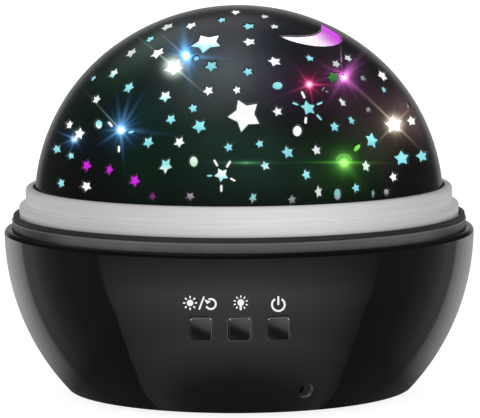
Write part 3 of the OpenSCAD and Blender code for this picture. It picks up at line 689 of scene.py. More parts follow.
def moon_front():
    """The crescent of the front view, carried onto the dome point by point."""
    az, el, mm, _ = front_frame(316.0, 40.0)
    d = direction(rad(az), rad(el))
    e, n = tangent(d)

    def spot(x, y):
        for _ in range(30):
            hit = dome_hit(x, y)
            if hit:
                p, nn = dome_point(rad(90 - hit[1]), rad(hit[0]))
                if nn.dot((CAM_POS - p).normalized()) > 0.11:
                    q = direction(rad(hit[0]), rad(hit[1]))
                    return (56.4 * q.dot(e) / q.dot(d), 56.4 * q.dot(n) / q.dot(d))
            x, y = x + (239.0 - x) * 0.002, y + (193.0 - y) * 0.002
        return None

    flat = [spot(x, y) for x, y in MOON_OUT + MOON_IN[-2:0:-1]]
    area = sum(flat[i][0] * flat[(i + 1) % len(flat)][1] - flat[(i + 1) % len(flat)][0] * flat[i][1]
               for i in range(len(flat)))
    side = 1 if area > 0 else -1

    def loop(off, k):
        out = []
        m = len(flat)
        for i in range(m):
            (x0, y0), (x1, y1), (x2, y2) = flat[i - 1], flat[i], flat[(i + 1) % m]
            a, b = Vector((x1 - x0, y1 - y0)).normalized(), Vector((x2 - x1, y2 - y1)).normalized()
            na, nb = Vector((a.y, -a.x)) * side, Vector((b.y, -b.x)) * side
            h = na + nb
            h = h.normalized() if h.length > 1e-6 else a
            out.append((x1 + h.x * off * min(1.6, 1 / max(0.3, h.dot(na))), y1 + h.y * off * min(1.6, 1 / max(0.3, h.dot(na)))))
        return out

    windows_before = len(windows)
    add_window(az, el, "moon", "Y", loop, shrink=False)
    windows[windows_before]["view"] = MOON_OUT + MOON_IN[-2:0:-1]


moon_front()
for px, py, r, rot, q, code in STARS:
    ratio = 0.57 if r > 12 else 0.54
    add_front(px, py, "star", code, lambda off, k, r=r, rot=rot, ratio=ratio: star_loop(r * k, rot, off, ratio), q,
              fine=(px, py) in BURSTS)
for px, py, a, b, rot, code in OVALS:
    add_front(px, py, "oval", code, lambda off, k, a=a, b=b, rot=rot: oval_loop(a * k, b * k, rot, off))
for px, py, a, b, rot, code in RAYS:
    add_front(px, py, "ray", code, lambda off, k, a=a, b=b, rot=rot: ray_loop(a * k, b * k, rot, off), fine=True)
add_window(-150.0, 50.0, "moon", "Y", lambda off, k: crescent_loop(off), shrink=False)

# the rest of the dome carries on the same pattern
rnd = Rnd(20417)


def reach(w):
    return max(math.hypot(x, y) for x, y in w["a"])


for i in range(2600):
    el = math.asin(min(0.995, 0.085 + 0.90 * ((i * 0.6180339887) % 1.0)))
    az = TAU * ((i * 0.7548776662) % 1.0) - math.pi
    r = (1.0, 1.3, 1.5, 1.8, 2.1, 2.4)[int(rnd(0, 5.999))]
    if i % 90 == 7:
        r = 4.4
    rot = rnd(0, 72)
    code = "CCWDWGECWL"[int(rnd(0, 9.999))]
    pick = rnd(0, 1)
    p, nn = dome_point(math.pi / 2 - el, az)
    if nn.dot((CAM_POS - p).normalized()) > -0.02 - 0.012 * r:
        continue
    if deg(el) < 5 + r * 1.2:
        continue
    room = r + 0.9 + (0.8 if r < 4 else 0.4)
    test = {"d": direction(az, el), "a": oval_loop(room, room, 0, 0)}
    if not free(test):
        continue
    if pick > 0.88 and r < 2:
        add_window(deg(az), deg(el), "oval", code, lambda off, k, r=r, rot=rot: oval_loop(r * 0.7, r * 0.9, rot, off))
    else:
        add_window(deg(az), deg(el), "star", code, lambda off, k, r=r, rot=rot: star_loop(r, rot, off))


# light pools that show through the smoky skin, in the front view: x, y, spread in pixels, linear colour
FRONT_POOLS = [
    (226, 70, 31, (0.047, 0.061, 0.068)), (157, 40, 22, (0.009, 0.028, 0.022)), (128, 66, 24, (0.005, 0.019, 0.011)),
    (182, 96, 22, (0.001, 0.008, 0.004)), (140, 112, 26, (0.001, 0.009, 0.010)), (228, 150, 32, (0.006, 0.020, 0.013)),
    (270, 160, 24, (0.003, 0.012, 0.008)), (318, 166, 20, (0.003, 0.015, 0.004)), (358, 170, 18, (0.002, 0.011, 0.003)),
    (284, 86, 22, (0.013, 0.001, 0.014)), (337, 82, 19, (0.027, 0.004, 0.020)), (384, 104, 17, (0.022, 0.006, 0.016)),
    (410, 116, 16, (0.090, 0.048, 0.060)), (248, 30, 34, (0.000, 0.001, 0.009)), (352, 116, 18, (0.012, 0.008, 0.009)), (378, 146, 15, (0.012, 0.014, 0.008)),
    (150, 162, 27, (0.000, 0.010, 0.003)), (80, 112, 26, (0.000, 0.006, 0.001)),
]
# and round the rest of it: azimuth, elevation, spread in mm, linear colour
POOLS = [(dome_hit(x, y)[0], dome_hit(x, y)[1], w / 3.64, c) for x, y, w, c in FRONT_POOLS] + [
    (135, 40, 16, (0.022, 0.008, 0.022)), (-140, 30, 15, (0.003, 0.018, 0.030)), (178, 30, 14, (0.010, 0.022, 0.010)),
    (-100, 38, 14, (0.004, 0.016, 0.018)), (100, 30, 12, (0.016, 0.008, 0.012)), (180, 62, 15, (0.020, 0.026, 0.030)),
]
pools = [(dome_point(rad(90 - el), rad(az))[0], s, c) for az, el, s, c in POOLS]


def haze(p):
    r = g = b = 0.0
    for c, s, k in pools:
        q = math.exp(-(p - c).length_squared / (2 * s * s))
        r, g, b = r + k[0] * q, g + k[1] * q, b + k[2] * q
    return (r, g, b)


def build_dome():
    th_max = math.acos(-0.2 / 56.6)
    n_rim = 300
    pts, faces_in, loops = [], [], []
    for i in range(n_rim):
        pts.append(to_plane(th_max, TAU * i / n_rim))
    keep_from = len(pts)
    for w in windows:
        base = len(pts)
        w["tha"] = [place(w, x, y) for x, y in w["a"]]
        w["thb"] = [place(w, x, y) for x, y in w["b"]]
        pts += [to_plane(*q) for q in w["tha"]]
        loops.append((base, len(w["tha"])))
        faces_in.append(list(range(base, len(pts))))
    # ring points, kept clear of the windows
    placed = []
    for w in windows:
        placed.append((w["d"], reach(w) + 0.5, w))

    def seg_dist(px, py, loop):
        best, inside = 1e9, False
        m = len(loop)
        for i in range(m):
            x0, y0 = loop[i]
            x1, y1 = loop[(i + 1) % m]
            dx, dy = x1 - x0, y1 - y0
            t = max(0.0, min(1.0, ((px - x0) * dx + (py - y0) * dy) / (dx * dx + dy * dy + 1e-12)))
            best = min(best, math.hypot(px - x0 - t * dx, py - y0 - t * dy))
            if (y0 > py) != (y1 > py) and px < (x1 - x0) * (py - y0) / (y1 - y0) + x0:
                inside = not inside
        return -best if inside else best

    cos_cache = [(w, math.cos(q / 56.4 + 0.02)) for _, q, w in placed]
    rows = 44
    for j in range(rows):
        th = th_max * (j + 0.5) / rows if j else 0.0
        n = max(1, int(56.6 * math.sin(th) * TAU / 2.1)) if j else 1
        if j == rows - 1:
            n = n_rim
        for i in range(n):
            az = TAU * (i + 0.5 * (j % 2)) / n
            d = Vector((math.sin(th) * math.sin(az), -math.sin(th) * math.cos(az), math.cos(th)))
            ok = True
            for w, c in cos_cache:
                dd = w["d"].dot(d)
                if dd > c:
                    e, nn = tangent(w["d"])
                    q = d * (56.4 / dd)
                    if seg_dist(q.dot(e), q.dot(nn), w["a"]) < 0.45:
                        ok = False
                        break
            if ok:
                pts.append(to_plane(th, az))
    out = delaunay_2d_cdt([Vector(p) for p in pts], [(i, (i + 1) % n_rim) for i in range(n_rim)], faces_in, 0, 1e-6)
    v2, _, tri, orig_v, _, orig_f = out
    index_of = {}
    for k, o in enumerate(orig_v):
        for q in o:
            index_of[q] = k
    verts, outer_n = [], []
    for p in v2:
        q = math.hypot(p.x, p.y) / 56.0
        az = math.atan2(p.x, -p.y)
        P, N = dome_point(q, az)
        verts.append(P)
        outer_n.append(N)
    nv = len(verts)
    inner = []
    for k in range(nv):
        p = v2[k]
        inner.append(dome_point(math.hypot(p.x, p.y) / 56.0, math.atan2(p.x, -p.y), SKIN_T)[0])
    bmap = {}
    for w, (base, m) in zip(windows, loops):
        for i in range(m):
            k = index_of[base + i]
            bmap[(base, i)] = w["thb"][i]
            inner[k] = dome_point(*w["thb"][i], SKIN_T)[0]
    allv = verts + inner
    faces, mats, norms = [], [], []

    def face(idx, mat, ns):
        faces.append(idx)
        mats.append(mat)
        norms.extend(ns)

    for t, of in zip(tri, orig_f):
        if of:
            continue
        a, b, c = t[0], t[1], t[2]
        if (verts[b] - verts[a]).cross(verts[c] - verts[a]).dot(outer_n[a]) < 0:
            a, b, c = a, c, b
        face((a, b, c), 0, [outer_n[a], outer_n[b], outer_n[c]])
        face((nv + a, nv + c, nv + b), 0, [-outer_n[a], -outer_n[c], -outer_n[b]])
    # bottom edge
    for i in range(n_rim):
        a, b = index_of[i], index_of[(i + 1) % n_rim]
        face((a, nv + a, nv + b, b), 0, [Vector((0, 0, -1))] * 4)
    # window rims: a chamfer and a wall. Each chamfer carries a painted glow, a painted highlight tinted by its window
    # and brightest round the hottest ones
    cols = [haze(v) for v in allv]
    edge = [(0.0, 0.0, 0.0)] * len(allv)
    for w, (base, m) in zip(windows, loops):
        idx_a = [index_of[base + i] for i in range(m)]
        idx_b = []
        up, low = LIGHT.get(w["light"], ((0.8, 0.8, 0.9), (0.6, 0.6, 0.7)))
        lum = min(1.0, (up[0] + up[1] + up[2]) / 3)
        for i in range(m):
            P, _ = dome_point(*w["thb"][i], 0.16)
            idx_b.append(len(allv))
            allv.append(P)
            cols.append(haze(P))
            s = {"K": 1.6, "H": 1.6, "B": 0.9}.get(w["light"], 0.10 if w["kind"] != "moon" else 0.50) * lum
            edge.append((0.3 * s + 0.7 * s * min(1, low[0]), 0.3 * s + 0.7 * s * min(1, low[1]),
                         0.3 * s + 0.7 * s * min(1, low[2])))
        # which way round does the loop run?
        centre = dome_point(*place(w, 0, 0))[0]
        for i in range(m):
            j = (i + 1) % m
            pa, pb = allv[idx_a[i]], allv[idx_a[j]]
            qb, qa = allv[idx_b[j]], allv[idx_b[i]]
            n1 = (pb - pa).cross(qa - pa).normalized()
            order = (idx_a[i], idx_a[j], idx_b[j], idx_b[i])
            wall = (idx_b[i], idx_b[j], nv + idx_a[j], nv + idx_a[i])
            if n1.dot(w["d"]) < 0:
                order, wall = order[::-1], wall[::-1]
                n1 = -n1
            face(order, 1, [n1] * 4)
            e1 = allv[wall[1]] - allv[wall[0]]
            e2 = allv[wall[2]] - allv[wall[1]]
            n2 = e1.cross(e2).normalized()
            face(wall, 0, [n2] * 4)
    return allv, faces, mats, norms, cols, edge


def dome_skin_material():
    m, nd, b = material("smoky_dome_skin")
    p = nd.obj()
    drift = nd.noise(p, 55, 4.0, 0.55)
    fine = nd.noise(p, 420, 3.0, 0.5)
    nd.put(b.inputs["Base Color"], nd.mix(drift, (0.0030, 0.0032, 0.0036), (0.0055, 0.0056, 0.0060)))
    nd.put(b.inputs["Roughness"], nd.ramp(nd.math("ADD", drift, fine), 0.7, 1.3, 0.15, 0.23, smooth=False))
    nd.put(b.inputs["Normal"], nd.bump(fine, 0.02, 0.00003))
    b.inputs["Specular IOR Level"].default_value = 0.32
    at = nd.new("ShaderNodeAttribute", attribute_name="haze")
    total = nd.vmath("SCALE", at.outputs["Color"], scale=nd.ramp(nd.noise(p, 90, 3.0, 0.6), 0.2, 0.8, 0.80, 1.20))
    for px, py, halos, rays in FLARES:
        az, el, mm, _ = front_frame(px, py)
        c = dome_point(rad(90 - el), rad(az))[0] / 1000
        q = nd.vmath("SUBTRACT", p, tuple(c))
        qx = nd.vmath("DOT_PRODUCT", q, tuple(RIGHT * (1000.0 / mm)))
        qy = nd.vmath("DOT_PRODUCT", q, tuple(UP * (1000.0 / mm)))
        d2 = nd.math("MULTIPLY_ADD", qx, qx, nd.math("MULTIPLY", qy, qy))
        d1 = nd.math("SQRT", d2)
        here = nd.ramp(nd.vmath("LENGTH", q), 0.036, 0.022)
        parts = None
        for kind, r, col in halos:
            if kind == "E":
                f = nd.math("EXPONENT", nd.math("MULTIPLY", d1, -1.0 / r))
            elif kind == "G":
                f = nd.math("EXPONENT", nd.math("MULTIPLY", d2, -1.0 / (r * r)))
            else:
                t = nd.math("MULTIPLY_ADD", d1, 1.0 / 1.1, -r / 1.1)
                f = nd.math("EXPONENT", nd.math("MULTIPLY", nd.math("MULTIPLY", t, t), -1.0))
                f = nd.math("MULTIPLY", f, nd.ramp(qy, -1.0, 4.0))
            v = nd.vmath("SCALE", tuple(col), scale=f)
            parts = v if parts is None else nd.vmath("ADD", parts, v)
        by_colour = {}
        for ang, length, width, gain, col, one in rays:
            a = rad(ang)
            s1 = nd.math("MULTIPLY_ADD", qx, math.cos(a) / length, nd.math("MULTIPLY", qy, math.sin(a) / length))
            s2 = nd.math("MULTIPLY_ADD", qx, -math.sin(a) / width, nd.math("MULTIPLY", qy, math.cos(a) / width))
            s3 = nd.math("MAXIMUM", s1, nd.math("MULTIPLY", s1, -6.0)) if one else nd.math("ABSOLUTE", s1)
            s4 = nd.math("MULTIPLY_ADD", s3, 1.5, nd.math("MULTIPLY", s2, s2))
            f = nd.math("MULTIPLY", nd.math("EXPONENT", nd.math("MULTIPLY", s4, -1.0)), gain)
            by_colour[col] = f if col not in by_colour else nd.math("ADD", by_colour[col], f)
        for col, f in by_colour.items():
            v = nd.vmath("SCALE", tuple(col), scale=f)
            parts = v if parts is None else nd.vmath("ADD", parts, v)
        total = nd.vmath("ADD", total, nd.vmath("SCALE", parts, scale=here))
    nd.put(b.inputs["Emission Color"], total)
    b.inputs["Emission Strength"].default_value = 1.0
    m.cycles.emission_sampling = "NONE"
    return m


# the chamfers' dark satin, with the painted glow of the edge colours as emission
def dome_edge_material():
    m, nd, b = material("window_edge")
    p = nd.obj()
    fine = nd.noise(p, 600, 2.0, 0.5)
    nd.put(b.inputs["Base Color"], nd.mix(fine, (0.012, 0.012, 0.013), (0.022, 0.022, 0.024)))
    nd.put(b.inputs["Roughness"], nd.ramp(fine, 0.3, 0.7, 0.12, 0.22))
    at = nd.new("ShaderNodeAttribute", attribute_name="edge")
    nd.put(b.inputs["Emission Color"], nd.vmath("SCALE", at.outputs["Color"], scale=nd.ramp(fine, 0.2, 0.8, 0.8, 1.2)))
    b.inputs["Emission Strength"].default_value = 1.0
    m.cycles.emission_sampling = "NONE"
    return m


ICE, SNOW, GOLD, LEAF = (0.20, 0.56, 1.15), (0.50, 0.68, 0.66), (0.75, 0.62, 0.45), (0.18, 0.75, 0.07)
ROSE, MAUVE, MINT = (1.00, 0.07, 0.28), (1.05, 0.25, 0.92), (0.12, 0.42, 0.18)
# Flares round the hottest windows: x and y in the front view, halos (kind, radius, colour) and rays
# (angle, length, width, gain, colour, one-sided), all in pixels of that view.
FLARES = [
    (120.5, 130.0, [("G", 3.4, (0.60, 1.05, 1.30)), ("E", 5.2, (0.06, 0.30, 0.62))],
     [(76, 16, 1.9, 0.80, ICE, 1), (58, 17, 1.7, 0.55, ICE, 1), (97, 13, 1.8, 0.80, ICE, 1), (116, 8, 1.5, 0.6, ICE, 1),
      (22, 7, 1.2, 1.2, ICE, 1), (38, 8, 1.1, 1.1, ICE, 1), (0, 9, 1.5, 1.4, ICE, 1), (-22, 7, 1.1, 1.1, ICE, 1),
      (-50, 7, 1.2, 1.1, ICE, 1), (-84, 11, 1.6, 1.2, ICE, 1), (-110, 6, 1.1, 1.1, ICE, 1),
      (-147, 9, 1.2, 1.3, ICE, 1), (180, 7, 1.1, 1.2, ICE, 1), (157, 8, 1.1, 1.0, ICE, 1),
      (133, 22, 0.8, 0.8, SNOW, 1), (-6, 25, 1.7, 0.24, ICE, 1)]),
    (186.0, 56.0, [("G", 2.9, (1.0, 1.45, 1.65)), ("E", 5.8, (0.09, 0.42, 0.86))],
     [(97, 13, 3.2, 1.7, ICE, 1), (113, 9, 2.2, 1.2, ICE, 1), (72, 8, 1.6, 1.2, ICE, 1), (45, 6, 1.4, 1.0, ICE, 1),
      (170, 8, 1.5, 1.3, ICE, 1), (-4, 15, 2.0, 1.4, ICE, 1), (-80, 11, 3.0, 1.5, ICE, 1), (-56, 8, 2.0, 1.2, ICE, 1),
      (-110, 7, 1.5, 1.0, ICE, 1), (150, 9, 1.3, 1.0, ICE, 1), (137.5, 18, 0.9, 0.8, SNOW, 1)]),
    (173.6, 66.5, [("G", 7.4, (1.45, 1.62, 1.42)), ("E", 5.0, (0.16, 0.26, 0.20))],
     [(138.5, 22, 1.0, 1.1, SNOW, 1), (-41.5, 18, 1.0, 1.1, SNOW, 1), (48, 6, 1.4, 0.5, SNOW, 1)]),
    (74.7, 138.7, [("G", 2.9, (0.8, 1.0, 1.4)), ("E", 3.1, (0.05, 0.20, 0.58))],
     [(200, 7, 1.0, 0.8, ICE, 1), (158, 9, 0.9, 0.8, ICE, 1), (250, 7, 1.0, 0.8, ICE, 1), (300, 5, 1.0, 0.6, ICE, 1),
      (20, 6, 1.0, 0.6, ICE, 1), (100, 5, 1.0, 0.5, ICE, 1), (225, 6, 1.0, 0.6, ICE, 1)]),
    (309.2, 84.5, [("G", 2.7, (1.5, 0.75, 0.95)), ("E", 4.4, (0.46, 0.014, 0.085))],
     [(0, 10, 1.2, 1.7, ROSE, 1), (125, 7, 1.3, 1.4, ROSE, 1), (62, 6, 1.2, 1.0, ROSE, 1), (98, 5, 1.1, 0.8, ROSE, 1),
      (205, 7, 1.2, 1.3, ROSE, 1), (-80, 9, 1.1, 1.2, ROSE, 1), (30, 5, 1.1, 0.8, ROSE, 1),
      (-45, 6, 1.1, 0.9, ROSE, 1), (160, 5, 1.1, 0.9, ROSE, 1), (-115, 5, 1.1, 0.8, ROSE, 1),
      (203, 28, 0.9, 0.08, MAUVE, 0)]),
    (343.5, 77.4, [("G", 3.4, (0.34, 0.18, 0.34)), ("E", 5.6, (0.30, 0.045, 0.29))],
     [(53, 15, 3.0, 0.85, MAUVE, 1), (38, 12, 2.2, 0.75, MAUVE, 1), (68, 9, 2.2, 0.6, MAUVE, 1),
      (20, 9, 2.0, 0.55, MAUVE, 1), (2, 7, 1.9, 0.5, MAUVE, 1), (148, 11, 2.4, 0.65, MAUVE, 1),
      (168, 9, 2.0, 0.6, MAUVE, 1), (128, 8, 2.0, 0.55, MAUVE, 1), (-40, 15, 2.6, 0.70, MAUVE, 1),
      (-58, 10, 2.0, 0.55, MAUVE, 1), (-20, 8, 1.8, 0.45, MAUVE, 1), (-122, 11, 2.6, 0.75, MAUVE, 1),
      (-142, 8, 2.0, 0.6, MAUVE, 1), (-88, 8, 2.0, 0.5, MAUVE, 1), (192, 7, 1.9, 0.5, MAUVE, 1)]),
    (341.3, 59.0, [("G", 1.5, (0.02, 0.005, 0.02))], [(90, 9, 0.7, 0.9, (0.50, 0.20, 0.50), 0)]),
    (394.8, 123.8, [("G", 6.8, (1.30, 1.18, 0.95)), ("E", 8.5, (0.24, 0.18, 0.115))],
     [(137, 21, 1.0, 1.1, GOLD, 1), (-43, 15, 1.0, 1.1, GOLD, 1), (44, 13, 1.0, 1.0, GOLD, 1),
      (226, 14, 1.0, 1.0, GOLD, 1), (10, 7, 1.4, 0.5, GOLD, 1), (170, 7, 1.4, 0.5, GOLD, 1),
      (90, 7, 1.4, 0.5, GOLD, 1), (-90, 7, 1.4, 0.5, GOLD, 1), (67, 7, 1.3, 0.4, GOLD, 1), (-67, 7, 1.3, 0.4, GOLD, 1)]),
    (344.0, 162.4, [("G", 4.8, (0.40, 0.98, 0.19)), ("G", 9.5, (0.06, 0.25, 0.03)), ("E", 10.0, (0.025, 0.11, 0.012)),
                    ("R", 7.8, (0.08, 0.28, 0.04))],
     [(0, 17, 1.2, 0.9, LEAF, 1), (180, 17, 1.2, 0.9, LEAF, 1), (-52, 13, 3.4, 0.30, LEAF, 1),
      (-95, 9, 3.0, 0.2, LEAF, 1), (45, 8, 3.0, 0.2, LEAF, 1)]),
    (246.0, 162.8, [("G", 2.0, (0.01, 0.05, 0.02))], [(0, 13, 0.8, 0.8, MINT, 0), (0, 22, 2.4, 0.18, MINT, 0)]),
]

allv, faces, mats, norms, cols, edge = build_dome()
make("dome_skin", allv, faces, "dome", [dome_skin_material(), dome_edge_material()], mats, norms,
     replaces=("star_mask",), colours={"haze": cols, "edge": edge})


def window_material():
    m, nd, b = material("window_light")
    p = nd.obj()
    fine = nd.noise(p, 900, 2.0, 0.5)
    soft = nd.noise(p, 240, 2.0, 0.5)
    nd.put(b.inputs["Base Color"], nd.mix(fine, (0.012, 0.012, 0.014), (0.022, 0.022, 0.024)))
    nd.put(b.inputs["Roughness"], nd.ramp(fine, 0.3, 0.7, 0.10, 0.2))
    at = nd.new("ShaderNodeAttribute", attribute_name="glow")
    nd.put(b.inputs["Emission Color"], nd.vmath("SCALE", at.outputs["Color"], scale=nd.ramp(soft, 0.2, 0.8, 0.90, 1.10)))
    b.inputs["Emission Strength"].default_value = 1.0
    b.inputs["Specular IOR Level"].default_value = 0.2
    m.cycles.emission_sampling = "NONE"
    return m


def blend3(a, b, t):
    return tuple(x + (y - x) * t for x, y in zip(a, b))


def build_windows():
    verts, faces, cols = [], [], []
    r2 = Rnd(77)
    for w in windows:
        code = w["light"]
        e, n = tangent(w["d"])
        gain = r2(0.92, 1.08)
        loop = w["fill"]
        m = len(loop)
        size = max(math.hypot(x, y) for x, y in loop)

        def colour(x, y, k=1.0, view=None):
            if code == "Y":
                t = (x * 0.8 + y * 0.6 + 1.0) / 9.0
                if view:
                    t = (view[0] - 308.0) / 26.0 * 0.8 + (40.0 - view[1]) / 14.0 * 0.5
                t = max(0.0, min(1.0, t))
                c = blend3((1.05, 1.00, 1.08), (0.60, 0.035, 0.70), t * t * (3 - 2 * t))
            else:
                up, low = LIGHT[code]
                t = max(0.0, min(1.0, (y / size + 0.55) / 0.75))
                c = blend3(low, up, t * t * (3 - 2 * t))
            return tuple(q * k * gain for q in c)

        base = len(verts)
        top, bot = 0.30, 0.74
        views = w.get("view", [None] * m)
        for (x, y), vw in zip(loop, views):
            verts.append(dome_point(*place(w, x, y), top)[0])
            cols.append(colour(x, y, 1.0, vw))
        for (x, y), vw in zip(loop, views):
            verts.append(dome_point(*place(w, x, y), bot)[0])
            cols.append(colour(x, y, 0.5, vw))
        area = sum(loop[i][0] * loop[(i + 1) % m][1] - loop[(i + 1) % m][0] * loop[i][1] for i in range(m))
        ccw = area > 0

        def put(f):
            faces.append(tuple(f) if ccw else tuple(f)[::-1])

        for i in range(m):
            j = (i + 1) % m
            put((base + m + i, base + m + j, base + j, base + i))
        if w["kind"] == "moon":
            half = m // 2
            for off, rev in ((0, False), (m, True)):
                for i in range(half):
                    a, b2 = i, i + 1
                    c, d2 = (m - i) % m, m - i - 1
                    idx = [a, b2, d2, c] if a != c else [a, b2, d2]
                    if b2 == d2:
                        idx = [a, b2, c]
                    f = [base + off + q for q in idx]
                    put(f[::-1] if rev else f)
        else:
            ct = len(verts)
            verts.append(dome_point(*place(w, 0, 0), top - 0.04)[0])
            cols.append(colour(0, 0.0, 1.06))
            cb = len(verts)
            verts.append(dome_point(*place(w, 0, 0), bot)[0])
            cols.append(colour(0, 0, 0.5))
            for i in range(m):
                j = (i + 1) % m
                put((ct, base + i, base + j))
                put((cb, base + m + j, base + m + i))
    return verts, faces, cols


wv, wf, wc = build_windows()
make("star_windows", wv, wf, "dome", [window_material()], smooth=False, colours={"glow": wc})

# the clear dome inside the skin
prof = []
n = 60
for i in range(n + 1):
    th = (math.pi / 2) * i / n
    p, _ = dome_point(math.pi / 2 - th, rad(180), 0.72)
    prof.append((max(0.0, p.y), p.z))
outer = [(55.88, 51.0)] + prof
inner = []
for i in range(n + 1):
    th = (math.pi / 2) * i / n
    p, _ = dome_point(th, rad(180), 2.1)
    inner.append((max(0.0, p.y), p.z))
inner += [(54.5, 51.0)]


def lathe_cap(outer, inner, n=240):
    """A closed dome-shaped shell: outer runs from the rim to the pole, inner from the pole to the rim."""
    verts, faces = [], []
    o, k = outer[:-1], inner[1:]
    m = len(o) + len(k)
    for i in range(n):
        a = TAU * i / n
        for r, z in o + k:
            verts.append((r * math.cos(a), r * math.sin(a), z))
    to = len(verts)
    verts.append((0, 0, outer[-1][1]))
    ti = len(verts)
    verts.append((0, 0, inner[0][1]))
    for i in range(n):
        j = (i + 1) % n
        for q in range(len(o) - 1):
            faces.append((i * m + q, j * m + q, j * m + q + 1, i * m + q + 1))
        q = len(o) - 1
        faces.append((i * m + q, j * m + q, to))
        q = len(o)
        faces.append((j * m + q, i * m + q, ti))
        for q in range(len(o), m - 1):
            faces.append((i * m + q, j * m + q, j * m + q + 1, i * m + q + 1))
        faces.append((i * m + m - 1, j * m + m - 1, j * m, i * m))
    return verts, faces


lv, lf = lathe_cap(outer, inner)
make("inner_dome", lv, lf, "dome", [M["clear_ps"]], sharp=35, replaces=("dome_lens",))

# ------------------------------------------------------------------ bowl

ZC = 45.05
R_OUT, R_IN = 65.0, 63.0
TILT = math.asin((ZC - 25.6) / 65.0)
JAZ, JZ = rad(19.3), 7.3
PITCH_X = 10.1
SC = Vector((0, 0, ZC))


def ball(al, la, r=R_OUT):
    return Vector((r * math.cos(la) * math.sin(al), -r * math.cos(la) * math.cos(al), ZC + r * math.sin(la)))


def angles(p):
    q = (p - SC).normalized()
    return math.atan2(q.x, -q.y), math.asin(q.z)


def panel_dir():
    return Vector((0, -math.cos(TILT), -math.sin(TILT)))


def panel(x, y, z):
    return Vector((x, -y * math.sin(TILT) - z * math.cos(TILT), ZC + y * math.cos(TILT) - z * math.sin(TILT)))


def on_panel_ball(x, y, r):
    return panel(x, y, math.sqrt(r * r - x * x - y * y))


def on_jack_ball(x, z, r):
    y = -math.sqrt(r * r - x * x - (z + JZ - ZC) ** 2)
    return Vector((x * math.cos(JAZ) - y * math.sin(JAZ), x * math.sin(JAZ) + y * math.cos(JAZ), JZ + z))


